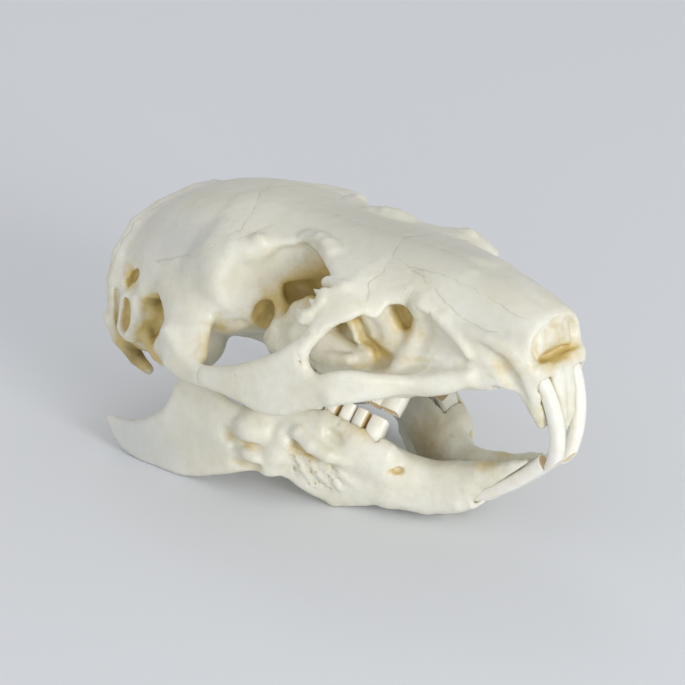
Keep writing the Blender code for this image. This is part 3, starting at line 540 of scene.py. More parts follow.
    # Cheek arch, with the bar before the eye and the lower root that leaves the big opening
    add(side_plate((
        (-16.6, 19.5), (-15.8, 17.2), (-14.2, 15.6), (-11.5, 15), (-6.4, 15.4), (-1.8, 15.3),
        (1.4, 14.7), (4.5, 14.9), (8, 16.4), (12.4, 18.3), (16, 19.6), (19, 20.6), (23, 21.4),
        (26.2, 22), (26, 23.8), (23.5, 23.4), (20.4, 22.2), (16.8, 22.6), (13.9, 23),
        (11.5, 22.4), (9.6, 21.7), (8.5, 23), (9.1, 25.1),
        (10.6, 27.3), (12.4, 28.4), (13.2, 29.4), (11.4, 30.8), (8.6, 31.5), (7.9, 30.3),
        (7.9, 28.8), (7.3, 26.4), (5.6, 24.5), (3.3, 22.8), (0.4, 21.2), (-3.1, 19.6),
        (-7.4, 18.3), (-10.5, 18.6), (-13.5, 20.4), (-15.4, 21)),
        arch_side, lambda x, z: 0.85, 1.1), 0.9)

    # Lower root of the arch, a shelf from the tooth row out to it
    add(bar(((11, 15.4, 19.4), (15, 11.2, 20.1), (17.6, 7, 20.8)), (1.2, 1.2, 1.4), (2.4, 3, 3.4)), 1)
    add(ellipsoid((20.6, 8.2, 21), (4.2, 1.9, 1.5), (0, -12, -12)), 1.2)

    # Hind root of the arch
    add(bar(((-16.2, 11.4, 24.8), (-14.4, 13.6, 22.2), (-13.2, 15.4, 20.2), (-11.8, 17.2, 17.6)),
            (1.4, 1.5, 1.5, 1.3), (5, 3.7, 3.2, 3), up=(0, 0.7, 0.72)), 1.4)

    # Crest round the back of the skull, and the hooks below it
    add(bar(((-26.6, 0, 31), (-28, 5, 29.8), (-29.2, 8, 28), (-30.1, 10.2, 24.5), (-30.5, 10.9, 21.2),
             (-30.6, 10.9, 18), (-30.5, 10.5, 15)),
            (1.3, 1.2, 1.2, 1.3, 1.3, 1.3, 1.3), 1, up=(1, 0, 0)), 1.5)
    add(bar(((-31, 10.6, 15.5), (-30.4, 10, 12.8), (-28.6, 9.4, 10.2), (-26.8, 9.1, 9)),
            (1.6, 1.3, 0.9, 0.7), (1.8, 1.5, 1, 0.7), up=(0, 1, 0)), 0.9)

    # Hollow before the ear, the ear's raised rim with the opening in it, the slit above
    cut(bar(((-20.6, 12.9, 21), (-21.4, 12.9, 19.2), (-22.4, 12.9, 17.2), (-23.8, 12.6, 15.2)),
            (1.2, 1.9, 1.1, 1.3), (2.6, 3.4, 2.4, 2.2), up=(1, 0, 0.4)), 0.8)
    add(bar(((-26.2, 12.2, 19.8), (-26.4, 12.2, 17.4), (-27.4, 12, 15)),
            (2, 2.1, 1.9), 1, up=(1, 0, 0)), 0.5)
    cut(bar(((-26.6, 13.3, 19.4), (-26.9, 13.3, 17.4), (-27.5, 13, 15.8)),
            (0.8, 1, 0.8), 3, up=(1, 0, 0)), 0.3)
    cut(bar(((-25.4, 13.2, 23.8), (-26.4, 13.2, 22.8), (-27.4, 13, 21.4)),
            (0.5, 0.75, 0.5), 2.4, up=(1, 0, 0)), 0.3)

    # Wall and floor of the cheek opening: pit, ridge before it, groove, root of a tooth
    cut(ellipsoid((14.6, 6.4, 27.9), (1.9, 3.4, 2.3)), 0.5)
    add(bar(((18, 7.7, 30.2), (17.2, 6.2, 27.4), (16.4, 6.3, 25.2), (16.3, 7.4, 23.4), (15.4, 8.4, 21.8)),
            0.8, 0.9), 1.2)
    add(bar(((10.4, 7.7, 28.4), (12.4, 7, 26.2), (13.4, 6.7, 24)), (1.3, 1.3, 1), (1.3, 1.2, 1)), 1.4)
    cut(bar(((9.8, 8.6, 24.6), (11.6, 8.2, 22.8), (13.8, 8.8, 21.7)), 0.6, 0.7), 0.5)
    add(bar(((4.6, 11.2, 20.9), (7.5, 11.2, 21.3), (9.6, 10.8, 21.6)), 0.85), 0.3)
    add(ellipsoid((10.6, 8.9, 22), (1.4, 0.9, 1.3)), 1)

    # Root of the incisor bulging through the snout, and the furrow below it
    add(bar(((25.5, 6.2, 28.6), (28.8, 5.5, 28), (31.2, 4.6, 26.6), (32.5, 3.8, 24.6)),
            (0.8, 1, 1.1, 1)), 0.7)
    cut(bar(((27.4, 6.9, 27), (29.4, 6.4, 25.8), (31, 5.8, 23.6), (32, 4.7, 21)), (0.5, 0.9, 1, 0.5)), 0.6)

    # Slits in the palate behind the incisors
    cut(bar(((19, 0.9, 19.8), (24.5, 0.9, 21.2)), 0.9, 0.45), 0.3)

    # Scrolls and the wall between them inside the nose
    add(ellipsoid((30.9, 2, 27.8), (2, 1.4, 1.9), (0, 20, 10)), 0.5)
    add(bar(((28, 0, 27.4), (31.2, 0, 26.6)), 3, 0.4), 0.5)

    # Joint knobs and the great opening at the back
    cut(ellipsoid((-32.6, 0, 19.5), (6.5, 3.7, 3)), 0.6)
    add(ellipsoid((-31, 3.5, 17.2), (2.1, 1.5, 2.6), (20, 0, 20)), 0.7)
    cut(ellipsoid((-32.4, 6.8, 17), (2, 1.6, 2.4)), 0.8)
    return bone


# Lower jaw

def jaw_side(x, z):
    """How far out the jaw lies: in at the chin, out at the angle, in again towards the joint."""
    bow = flow(x, (-29, -24, -18, -12, -7, -3, 1, 6, 11, 16, 22),
               (15, 15.2, 15.1, 14.9, 14.2, 12.6, 10.2, 8, 6.2, 4.2, 2.6))
    return bow - flow(z, (-3, 5, 9, 18), (0, 0, 0.45, 1.9))


def mandible_field(step):
    bone = Bone(MANDIBLE_LOW, MANDIBLE_HIGH, step)
    add, cut = bone.add, bone.cut

    # Angle and branch of the jaw: a thin plate that ends in a point behind
    add(side_plate((
        (-28.6, 4.1), (-27.4, 2), (-25.7, 0.6), (-22.8, -0.2), (-18.9, -0.4), (-13.8, 0.1),
        (-9, 1.7), (-4.5, 3.3), (-2.4, 3.5), (-1, 3.3), (1, 2.6), (3.3, 1.6), (6, 2), (10, 3),
        (12, 7), (9, 10), (3, 11.2), (-1, 11.8), (-4.5, 11.3), (-8, 11.8), (-11, 13.4), (-14, 13.6),
        (-16.2, 12.4), (-17, 10.6), (-18.1, 8.4), (-20.3, 6.6), (-23.7, 5), (-26.6, 4.4)),
        jaw_side, lambda x, z: flow(x, (-29, -18, -8, -2, 12), (0.7, 0.75, 0.9, 1.1, 1.1)), 1), 0.5)

    # Body of the jaw, from the tooth row to the chin
    add(bar(((-3, 11.2, 7.4), (2, 9.3, 6.4), (7, 7.4, 5.4), (12, 5.4, 4.7), (16, 3.4, 4.1), (20, 2.3, 5),
             (23.5, 1.9, 6.6)),
            (2.4, 3.4, 4, 3.8, 3.4, 3.2, 2.5), (1.8, 2.3, 2.7, 2.7, 2.4, 2.2, 1.8), power=2.4), 1.2)
    add(bar(((21, 1.8, 5.6), (25, 1.7, 7.6), (28.3, 1.5, 9.7), (29.9, 1.3, 11)),
            (2.6, 1.9, 1.2, 0.5), (2, 1.7, 1.2, 0.6)), 0.8)
    add(bar(((12.5, 1.9, 1.7), (16.5, 1, 1.3), (20.5, 0.9, 2.9)), 1.5, 1.4), 1)

    # Bone round the cheek teeth, leaning in as they do
    add(bar(((-3.5, 11.4, 9.6), (0, 10.6, 9.8), (4.5, 9.5, 9.9), (8.3, 8.4, 9), (12, 7.2, 7.8)),
            (2.8, 2.9, 3, 2.9, 2.4), (1.8, 1.9, 2, 2, 1.6), up=(0, -0.25, 1), power=2.4), 1.4)

    # Joint knob, and the thin inner face behind the tooth roots
    add(ellipsoid((-13.6, 13, 12.6), (3, 1.5, 1.3)), 0.8)
    cut(ellipsoid((0.6, 5.2, 2.4), (5.6, 4.3, 3.3)), 1)

    # Ridge of the chewing muscle, the bulge below it, knobs and pit on the outer face
    add(bar(((1.6, 11, 10.4), (3.6, 11.2, 9.5), (5.6, 11, 8.4), (8, 10.2, 7.6)), (0.9, 1, 1, 0.7)), 0.7)
    cut(bar(((1.6, 13, 9), (3.6, 13.1, 7.8), (5.8, 12.4, 6.9)), (0.6, 0.8, 0.6), 1.2), 0.8)
    add(bar(((1.5, 9.6, 2.9), (5.2, 8.1, 1.3), (8.5, 6.7, 1.6)), (1.2, 1.5, 1.1), (1.4, 1.7, 1.3)), 1.4)
    add(ellipsoid((-3.4, 13.5, 9.5), (2.3, 1.3, 1.6), (0, 20, 0)), 1.4)
    add(ellipsoid((-3.8, 13.5, 6.1), (2, 1.4, 1), (0, 15, 0)), 1)
    add(bar(((-1.8, 12.4, 5), (-0.7, 12.2, 6.9), (0.4, 11.8, 9)), 1.4, 1.2), 1)
    cut(ellipsoid((-6.8, 15.7, 7.7), (1.3, 1.4, 1.1)), 0.6)

    # Slanted mouth of the incisor's socket, and the nerve's hole in the side
    cut(half_space((21.9, 0, 3.2), (0.69, 0, -0.72)), 0.4)
    cut(ellipsoid((14.2, 8, 6.9), (0.75, 1.2, 0.45)), 0.2)
    return bone


# Fine forms of the bones, too small for the plain solids

def outermost(bone, x, z):
    """How far out the bone's skin lies at one spot seen from the side."""
    i = round((x - bone.low[0]) / bone.step)
    k = round((z - bone.low[2]) / bone.step)
    inside = np.nonzero(bone.value[i, :, k] < 0)[0]
    return bone.axes[1][inside[-1]] if len(inside) else None


def on_skin(bone, spots):
    """The points on the bone's outer face at spots (x, z)."""
    return [(x, outermost(bone, x, z), z) for x, z in spots]


def scatter_pits(bone, seed, count, low, high, size):
    """Pores of about one size in the outer face, strewn between two corners (x, z)."""
    luck = random.Random(seed)
    for _ in range(count):
        x, z = luck.uniform(low[0], high[0]), luck.uniform(low[1], high[1])
        wide = size * luck.uniform(0.6, 1.3)
        out = outermost(bone, x, z)
        if out:
            turn = (0, luck.uniform(0, 90), 0)
            bone.cut(ellipsoid((x, out, z), (wide, 0.3, 0.7 * wide), turn), 0.15)


def cranium_details(bone):
    add, cut = bone.add, bone.cut

    # Knob of the tear bone, shelf on the brow, spike behind the eye, torn flange before it
    add(bar(((6.4, 11, 30.9), (7.8, 11.3, 31), (9.5, 11.4, 31)), (0.8, 0.75, 1.1)), 0.4)
    add(bar(((-2, 5.6, 33.2), (0.4, 5.9, 33.7), (2.2, 6.4, 33.6), (3.6, 7, 33.1)), 0.5, 1), 0.9)
    add(ellipsoid((-6.8, 9.3, 32.2), (1, 0.7, 1), (0, 20, 0)), 0.6)
    add(bar(((6.7, 15.7, 27.2), (6.5, 15.3, 28.2), (7.6, 14.7, 29), (8, 14, 30.2), (7.9, 13.2, 31)),
            (0.35, 0.45, 0.35, 0.4, 0.35), (0.7, 0.9, 0.5, 0.8, 0.6)), 0.3)
    add(ellipsoid((7.1, 15.2, 27.8), (0.9, 0.5, 0.9)), 0.3)
    for x, y, z, long in ((6, 15.6, 27.4, 0.9), (5.7, 15.2, 28.3, 1), (6.9, 14.4, 29.6, 0.7),
                          (7.2, 13.6, 30.6, 0.8)):
        add(ellipsoid((x, y, z), (long, 0.3, 0.35), (0, 15, 0)), 0.25)

    # Eye socket: wide hollow in the temple, furrow in the roof, column down the wall, scallop in
    # the edge of the temple, cleft at the bottom and the ridge with a knob along it
    cut(ellipsoid((-5.4, 13.2, 26.8), (3.4, 3.6, 4.2), (0, 0, -20)), 1.4)
    cut(bar(((-1.6, 6.6, 31.6), (-0.4, 6.2, 30), (0.6, 5.6, 28.4)), (0.9, 1, 0.8), 0.8), 0.8)
    add(bar(on_skin(bone, ((-5.4, 25.2), (-4.9, 24), (-4.3, 22.8), (-3.4, 21.8))), 0.5), 1)
    cut(bar(((-8.4, 11, 21.4), (-8, 11.2, 19.8)), 0.5, 0.8), 0.5)
    cut(bar(((-3.4, 5.4, 25), (-0.4, 5.2, 26.2), (2.8, 5.6, 27.2), (5, 6.4, 27.8)),
            (1.4, 1.6, 1.4, 0.9), (1.8, 1.8, 1.6, 1.2)), 0.8)
    add(bar(((-2.6, 8.3, 22.6), (-0.9, 8.2, 24.3), (0.9, 8.1, 25.4), (4.6, 8.4, 26)),
            (0.8, 1.2, 1.2, 0.8), (0.8, 1.1, 1.1, 0.8)), 0.8)
    add(ellipsoid((-1.6, 8, 24.2), (0.9, 0.7, 0.8)), 0.5)

    # Ridges of the cheek opening's inner wall, the floor of its pit, and the edge before it
    add(bar(((7.4, 9.2, 27), (8.6, 9, 25.4), (9.4, 9, 23.8)), 0.45, 0.6), 0.8)
    add(bar(((9, 8.2, 27.8), (10.2, 7.9, 26.2), (11, 7.8, 24.8)), 0.6, 0.7), 0.9)
    add(ellipsoid((14.8, 4.2, 27.9), (2.4, 1.7, 2.6)), 0.4)
    add(bar(((18.6, 8, 30.6), (21.6, 7.6, 29.4), (24, 7.4, 27.6), (25.4, 7.2, 25.8)), 0.45, 0.5), 0.7)

    # Root of the incisor that swells the snout, and furrows above, below and in front of it
    add(bar(((24, 6.6, 28.7), (27.6, 6.1, 28.4), (30.4, 5.2, 27.2), (32, 4.3, 25.2)), 0.7, 0.8), 0.8)
    cut(bar(((23, 7.6, 30.3), (26.4, 7, 30), (29.6, 6, 29.2)), (0.35, 0.5, 0.35), 0.6), 0.8)
    cut(bar(((26, 7.6, 26.8), (28.6, 7.2, 25.8), (30.6, 6.4, 23.8), (31.6, 5.4, 21.4)),
            (0.4, 0.7, 0.8, 0.4), (0.6, 1, 1.1, 0.6)), 0.7)
    cut(bar(((32.9, 2.6, 23.6), (33.7, 2.2, 21.2), (33.9, 1.9, 19)), 0.3, 0.35), 0.3)

    # Rough scrolls that close the nose nearly to its rim, with a crescent left open below them
    add(ellipsoid((30.4, 0, 28), (2.4, 4.3, 2.9)), 0.4)
    luck = random.Random(9)
    for _ in range(22):
        spot = (luck.uniform(31.8, 32.5), luck.uniform(0, 3), luck.uniform(26.4, 30))
        add(ellipsoid(spot, (0.5, luck.uniform(0.3, 0.7), luck.uniform(0.3, 0.6))), 0.5)

    # Bone in front between the incisors, and the thin end of the sheath behind each
    add(bar(((33.2, 0.7, 24), (34, 0.8, 21.4), (34.4, 0.7, 18.8), (34.2, 0.5, 16.6)),
            (1.2, 1.1, 0.9, 0.5), (1.3, 1, 0.8, 0.5), up=(1, 0, 0)), 0.8)
    cut(bar(((28.4, 5.2, 21.8), (30.1, 4.2, 20.2), (31.1, 3.4, 18.4), (31.6, 2.6, 16.2)),
            (0.7, 0.9, 1, 1.1), (1.4, 1.6, 1.6, 1.6), up=(1, 0, 0)), 0.5)

    # Floor and rim of the ear opening, and the plate that hangs over the hollow
    add(bar(((-26.8, 10.8, 19.8), (-27, 10.8, 17.4), (-27.6, 10.6, 15.4)), 1.3, 0.9), 0.4)
    add(ellipsoid((-26.2, 11.4, 18.4), (0.6, 0.8, 0.9), (0, 20, 0)), 0.4)
    add(bar(((-25.2, 12.4, 20.6), (-25, 12.4, 18.6), (-25.6, 12.3, 16.4), (-27, 12.1, 14.6)),
            0.55, 0.7), 0.4)
    add(ellipsoid((-23.6, 12.3, 21.2), (1.6, 0.7, 1.2), (0, 30, 0)), 0.6)
    add(bar(((-25, 11.2, 15.6), (-23.8, 11.6, 14.2), (-22.4, 11.8, 13), (-21.4, 11.8, 12.2)),
            (0.9, 0.8, 0.6, 0.35), (0.8, 0.7, 0.5, 0.3)), 0.6)
    cut(ellipsoid((-22.4, 13, 20), (1.3, 1.6, 1.2)), 0.5)
    cut(bar(((-29.4, 11.9, 20), (-29.2, 11.7, 17), (-29.2, 11.2, 14.6)), (0.35, 0.5, 0.35), 0.7), 0.5)

    # Pores by the cheek opening, in the eye socket and on the snout
    scatter_pits(bone, 3, 22, (6.5, 22.8), (11, 27.2), 0.22)
    scatter_pits(bone, 4, 7, (-7, 18.6), (-1, 21.4), 0.2)
    scatter_pits(bone, 5, 12, (15.5, 29.6), (21.5, 31.6), 0.2)


def mandible_details(bone):
    add, cut = bone.add, bone.cut

    # Rod-like ridge of the chewing muscle, the dark furrow below it, the hollow above
    cut(bar(((0.8, 12.4, 9.8), (2.2, 12.7, 8.6), (4.2, 12.4, 7.4), (6.8, 11.6, 6.5)),
            (0.5, 0.8, 0.8, 0.5), 1.5), 0.6)
    add(bar(((1, 11.3, 10.9), (2.6, 12, 10.2), (4.6, 12, 9.2), (6.8, 11.4, 8.2), (8.8, 10, 7.6)),
            (0.8, 1, 1.05, 0.95, 0.6), (0.8, 1, 1.05, 0.9, 0.6)), 0.35)
    cut(ellipsoid((6.9, 10.6, 10.6), (1.4, 0.7, 0.8), (0, 20, 0)), 0.6)

    # Two knobs behind the ridge, creases between and below them, and the swelling in front
    add(ellipsoid((-4.2, 14.3, 9.2), (1.9, 1.2, 1.5), (0, 20, 0)), 0.8)
    add(ellipsoid((-3.6, 14.1, 6), (1.7, 1.2, 0.8), (0, 15, 0)), 0.5)
    cut(bar(((-6.4, 15.3, 6.4), (-4.6, 15.4, 7.3), (-2.8, 15.2, 7.6)), 0.4, 1), 0.5)
    cut(bar(((-5.8, 15.5, 4.5), (-3.6, 15.4, 4.4), (-2.2, 14.8, 4.6)), 0.45, 1.1), 0.6)
    cut(ellipsoid((-7.2, 15.8, 8.2), (1.1, 1.4, 1)), 0.6)
    add(bar(((-1.9, 12.9, 4.4), (-0.9, 12.8, 6.4), (0.2, 12.2, 8.6), (0.8, 11.6, 10.2)),
            (0.8, 1.1, 1, 0.6)), 1.2)

    # Hollow flank of the bone's tongue above the incisor
    cut(bar(((22.4, 4.4, 3.8), (24.6, 4.2, 6), (27.6, 4, 8.9), (30.2, 3.8, 11.3)),
            (0.6, 1.1, 1.3, 1), 1.35, up=(-0.7, 0, 0.7)), 0.9)

    # Nerve's hole in the side
    cut(ellipsoid((14.2, outermost(bone, 14.2, 6.9), 6.9), (0.75, 0.6, 0.42)), 0.15)

    # Seam at the chin
    cut(bar(((14, 0, -0.4), (20, 0, 1.6), (26, 0, 6.4)), 0.35, 0.2), 0.2)

    # Rough field: short ridges that run down the jaw, with pores among them
    for spots in (((1.7, 6.9), (2.4, 5.4), (3.4, 3.6)), ((3.2, 6.8), (4.2, 5.2), (5.6, 3.6)),
                  ((4.8, 6.6), (6, 5.2), (7.4, 3.4)), ((6.4, 6.6), (7.6, 5.6), (8.8, 4.6))):
        add(bar(on_skin(bone, spots), (0.25, 0.4, 0.25)), 0.6)
    scatter_pits(bone, 6, 36, (1, 3), (7.8, 7.6), 0.24)
    scatter_pits(bone, 7, 14, (4, 10.4), (10.5, 12.2), 0.2)


# Teeth

# An incisor is a rounded box across: half sizes, how round, and corners round it
INCISOR_HALF = (0.88, 0.94)
INCISOR_ROUND = 0.78
INCISOR_CORNERS = 24


def boxed(share, half):
    """A circle's cosine or sine drawn out towards a box of this half size."""
    return math.copysign(half * abs(share) ** INCISOR_ROUND, share)


INCISOR_OUTLINE = tuple(
    (boxed(math.cos(t), INCISOR_HALF[0]), boxed(math.sin(t), INCISOR_HALF[1]))
    for t in (2 * math.pi * n / INCISOR_CORNERS for n in range(INCISOR_CORNERS)))

# A cheek tooth across: two ridges, with a deep fold between them on the outer side of the tooth's
# curve and a shallow one on the inner side
CHEEK_OUTLINE = ((-1.8, -0.85), (-1.55, -1.1), (-0.35, -1.15), (0, -0.8), (0.35, -1.15), (1.55, -1.1),
                 (1.8, -0.85), (1.8, 0.8), (1.6, 1.05), (0.5, 1.15), (0.32, 1), (0.12, -0.35),
                 (-0.12, -0.35), (-0.32, 1), (-0.5, 1.15), (-1.6, 1.05), (-1.8, 0.8))
CHEEK_WIDE = 1.15
CHEEK_PITCH = 3.9
PREMOLAR_EXTRA = 0.6
CHEEK_NAMES = ("premolar_4", "molar_1", "molar_2", "molar_3")


def grown(outline, by):
    """An outline with every point moved outwards by the same amount along each axis."""
    return tuple((u + math.copysign(by, u), w + math.copysign(by, w)) for u, w in outline)


# Each incisor: arc centre (x, z), how far out it lies there, tilt, yaw, radius, root, tip, worn tip
INCISORS = {
    "upper": ((22.4, 17), 1.9, -9, 0, 12.5, 37, -27, ((0, 11.5, -5.4), (0, 0.75, -0.66))),
    "lower": ((9, 33.7), 2.35, 0, -3.1, 32, -75.5, -41, ((0, 23.2, -21.5), (0, 0.866, 0.5))),
}

# Each row: axis of the first tooth, spread, rise, radius, root angle, tip angle, worn plane
ROWS = {
    "upper": ((12.85, 9.49, 19.3), 13, 11, 6, 181, 246, ((0, -2.42, -4.32), (0, 0.707, -0.707))),
    "lower": ((7.2, 1.79, 8.72), 13, 14, 6, -14, 62, ((0, 5.24, 4.72), (0, -0.707, 0.707))),
}


def row_place(origin, spread, rise):
    """Frame of a tooth row: X along the row to the front, Y outwards, Z up."""
    turn = Matrix.Rotation(math.radians(-spread), 4, "Z") @ Matrix.Rotation(math.radians(rise), 4, "Y")
    return Matrix.Translation(origin) @ turn


def cheek_outline(n):
    """Outline of the n-th tooth of a row: the first one's front half is longer."""
    extra = PREMOLAR_EXTRA if n == 0 else 0.0
    return tuple((u - n * CHEEK_PITCH + (extra if u > 0.5 else 0.0), w) for u, w in CHEEK_OUTLINE)


def incisor_place(centre, out, tilt, yaw):
    """Frame of an incisor: its axis lies across the skull, its radius points forward."""
    across = Matrix(((0, 1, 0, 0), (-1, 0, 0, 0), (0, 0, 1, 0), (0, 0, 0, 1)))
    turn = Matrix.Rotation(math.radians(tilt), 4, "X") @ Matrix.Rotation(math.radians(yaw), 4, "Z")
    return Matrix.Translation((centre[0], out, centre[1])) @ turn @ across


# Bone wrapped round each incisor: how many degrees of its arc, and how thick
COLLARS = {"upper": ((-1, 0.7), (-5.5, 0.5)), "lower": ((10, 0.7),)}

# How many degrees the trough of a row of cheek teeth runs on past their worn ends
TROUGH_BEYOND = 12


def cut_sockets(bone, jaw):
    """Room in the bone for the incisor and for the row of cheek teeth."""
    centre, out, tilt, yaw, radius, root, tip, _ = INCISORS[jaw]
    place = incisor_place(centre, out, tilt, yaw)
    for reach, wall in COLLARS[jaw]:
        bone.add(spun_space(grown(INCISOR_OUTLINE, wall), radius, root, root + reach, place), 0.8)
    bone.cut(spun_space(grown(INCISOR_OUTLINE, SOCKET), radius, root, tip, place), 0.1)
    origin, spread, rise, radius, root, tip, _ = ROWS[jaw]
    beyond = tip + math.copysign(TROUGH_BEYOND, tip - root)
    front = max(u for u, w in cheek_outline(0)) + SOCKET
    back = min(u for u, w in cheek_outline(len(CHEEK_NAMES) - 1)) - SOCKET
    half = CHEEK_WIDE + SOCKET
    trough = ((back, -half), (front, -half), (front, half), (back, half))
    bone.cut(spun_space(trough, radius, root, beyond, row_place(origin, spread, rise)), 0.1)


# Seams between the plates of the bones: width, then points with Y as the way out to either side
SEAMS = (
    (0.09, ((-27, 4.4, 30.9), (-27.5, 5.9, 30.5), (-28.4, 7.1, 29.7), (-29, 8.7, 28.8),
            (-29.7, 9.9, 26.9), (-30, 11.2, 24.9), (-30.8, 11.4, 23), (-31, 11.8, 21.6))),
    (0.10, ((-14.8, 0, 34.5), (-14.3, 1.1, 34.5), (-13.2, 2.4, 34.5), (-11.9, 4.4, 34.2),
            (-10.8, 7, 33.5), (-9.9, 9.4, 32.7))),
    (0.13, ((-22.6, 12.5, 26.2), (-20.9, 12.4, 26.7), (-19, 12.5, 27.4), (-17.3, 12.2, 28.2),
            (-14.7, 12.6, 29), (-12.5, 12.6, 29.7), (-11.9, 12.3, 30.3), (-11.5, 12, 30.8),
            (-10.8, 11.2, 31.7), (-10.5, 10.3, 32.3), (-9.9, 9.4, 32.7))),
    (0.08, ((-14.8, 0, 34.5), (-8, 0, 34.2), (-0.8, 0, 34.2), (9.3, 0, 34.2),
            (17, 0, 34.3), (23.2, 0, 33.3), (27.4, 0, 32.4), (32.6, 0, 31.2))),
    (0.09, ((9, 0, 34.2), (9.6, 1.4, 34.2), (10.3, 3, 34), (11.1, 4.6, 33.7))),
    (0.10, ((11.1, 4.6, 33.7), (14, 5.2, 33.4), (16.4, 5.7, 33), (18.6, 6.1, 32.5),
            (20.3, 6.5, 31.8), (21.8, 6.8, 30.9), (23.5, 6.8, 30.2), (25.3, 6.6, 29.6),
            (26.9, 6.3, 29.3), (28.3, 5.8, 29.2))),
    (0.05, ((14, 5.2, 33.4), (18, 4.6, 33.6), (23, 4, 33), (28, 3.9, 31.6), (32.4, 3.6, 30.6))),
    (0.09, ((11.1, 4.6, 33.7), (11.4, 6, 33.2), (11.7, 7.2, 32.6), (11.5, 8.2, 32.1),
            (11.3, 9.1, 31.8), (11.9, 9.9, 31.1), (12.4, 10.6, 30.5))),
    (0.08, ((-8.8, 10.4, 32.1), (-8.2, 8.4, 32.8), (-7.4, 6.6, 33.4), (-6.1, 5.2, 33.7))),
    (0.10, ((-7.6, 18.9, 18.6), (-7.9, 19, 17.7), (-8.1, 19.1, 16.8), (-7.4, 19.2, 15.8))),
    (0.09, ((20.2, 8.2, 23.4), (21.6, 7.4, 22), (22.4, 6, 20.6), (22.6, 3.6, 20.2))),
)


# How finely and how far a seam winds from side to side, and the seed of its turns
SEAM_WINDING = 0.8
SEAM_WANDER = 0.3
SEAM_SEED = 4


def seam_distances(points, normals):
    """How far every point is from the nearest seam: to one side of it by widths, and in all."""
    fold = np.where(points[:, 1] < 0, -1.0, 1.0)[:, None] * (0, 1, 0) + (1, 0, 1)
    spots, ways = points * fold, normals * fold
    noise.seed_set(SEAM_SEED)
    wander = np.array([noise.noise_vector(Vector(p) * SEAM_WINDING) for p in spots])
    spots = spots + SEAM_WANDER * wander
    nearest = np.full(len(points), FAR)
    signed = nearest.copy()
    for width, line in SEAMS:
        for a, b in zip(np.array(line), np.array(line)[1:]):
            along = b - a
            share = np.clip((spots - a) @ along / (along @ along), 0, 1)
            gap = spots - a - share[:, None] * along
            far = np.linalg.norm(gap, axis=1)
            side = np.sign(np.sum(gap * np.cross(along, ways), axis=1))
            closer = far < nearest
            nearest[closer] = far[closer]
            signed[closer] = (side * far / width)[closer]
    return signed, nearest


# Soft patches of tone: centre and half sizes, with Y as the way out to either side, and strength
PATCHES = {
    # Stains together with painted shade, in hollows, creases and holes of both bones
    "stain_and_shade": (
        ((2.8, 6, 27.6), (4.6, 4.6, 4.2), 1.35), ((-3.7, 5, 24.9), (3.4, 3.4, 2.8), 1.5),
        ((-6.4, 7.4, 22.3), (1.9, 2.6, 2.6), 1.4), ((-9.5, 13.4, 18.2), (3.4, 4.5, 3.8), 0.75),
        ((-24.3, 11.2, 15.6), (2.4, 2.4, 2.2), 1.1), ((-26.9, 10.8, 17.4), (1.2, 1.9, 2.8), 1.3),
        ((-26.5, 11.4, 22.6), (1.7, 1.6, 2), 1.2), ((-21.4, 11.2, 19.4), (2.2, 2.6, 3.2), 0.75),
        ((-30.8, 10.4, 18), (1.2, 2.4, 4.5), 0.5), ((-28.8, 9.6, 11.4), (2.6, 2.4, 4.2), 2.2),
        ((14.9, 5.6, 27.9), (2, 3, 2.6), 1.15), ((11.8, 8, 22.9), (2.2, 1.4, 1.6), 0.9),
        ((8.4, 8.4, 26.4), (2.6, 2.4, 2.6), 0.5), ((3.4, 10.6, 20.2), (2.6, 1.6, 1.1), 0.8),
        ((32.4, 0, 28), (3, 4.4, 3.4), 0.42), ((33, 1.8, 25.2), (1.6, 3, 1.3), 0.7),
        ((30, 6.3, 25.2), (3, 1.8, 3.6), 0.5),
        ((5, 12.5, 16.5), (9, 4, 2.2), 0.45), ((8, 8.4, 11.4), (5.5, 1.6, 1.6), 0.6),
        ((8, 3, 5), (8, 3.4, 6), 0.6), ((-4.4, 14.6, 4.6), (3.4, 1.8, 0.9), 0.5),
        ((-4.2, 14.4, 7.4), (2.6, 1.8, 0.7), 0.5), ((-7, 14.8, 8), (1.4, 1.6, 1.2), 0.5),
        ((3.2, 12.2, 7.6), (3.4, 2.2, 1), 0.45),
        ((3.6, 11.4, 5), (4.2, 3, 2.8), 0.25), ((-22.3, 11.6, 20), (1.7, 2.4, 1.7), 1.8),
        ((-22.6, 11.6, 13.2), (2, 1.6, 1.8), 1.4), ((24, 2, 9.6), (3.4, 1.8, 2), 0.7),
        ((-32, 0, 19.4), (5, 3.6, 3.2), 0.9), ((17.5, 5.6, 24.4), (4, 2.4, 3.6), 0.35),
        ((14.2, 7.4, 6.9), (0.75, 1.2, 0.45), 1.3), ((33, 3, 19.6), (1.6, 1.6, 4), 0.4)),
    "cool": (
        ((-23, 15.5, 3), (9, 4, 6.5), 1), ((-18, 11.5, 30), (8, 4, 4.5), 0.7),
        ((28, 5.6, 29.5), (6, 2.4, 3), 0.5), ((-25, 4, 30), (6, 9, 5), 0.5)),
    # Painted shade, on the roof of the skull and low on the jaw
    "shade": (
        ((-20, 0, 34), (16, 10, 7), 0.35), ((2, 0, 34.5), (16, 8, 4), 1),
        ((20, 0, 34), (12, 5.5, 3.5), 0.7), ((-9, 15, 6.5), (6, 3, 3), 0.5)),
    "rough": (
        ((4.6, 11.2, 6), (4, 3, 3), 1), ((8, 9.4, 25.6), (3.4, 3, 3.2), 0.9),
        ((5.2, 8.6, 3), (5, 3, 2.4), 0.6), ((-4.5, 9.4, 19.6), (3.6, 2.6, 2.6), 1),
        ((17, 7.2, 31.4), (5, 2, 2.2), 0.5), ((31, 0, 27.4), (3, 4, 3), 0.8),
        ((9, 13.5, 16.5), (8, 4, 2), 0.5), ((3, 14.4, 20.8), (6, 2.5, 2.5), 0.4)),
}


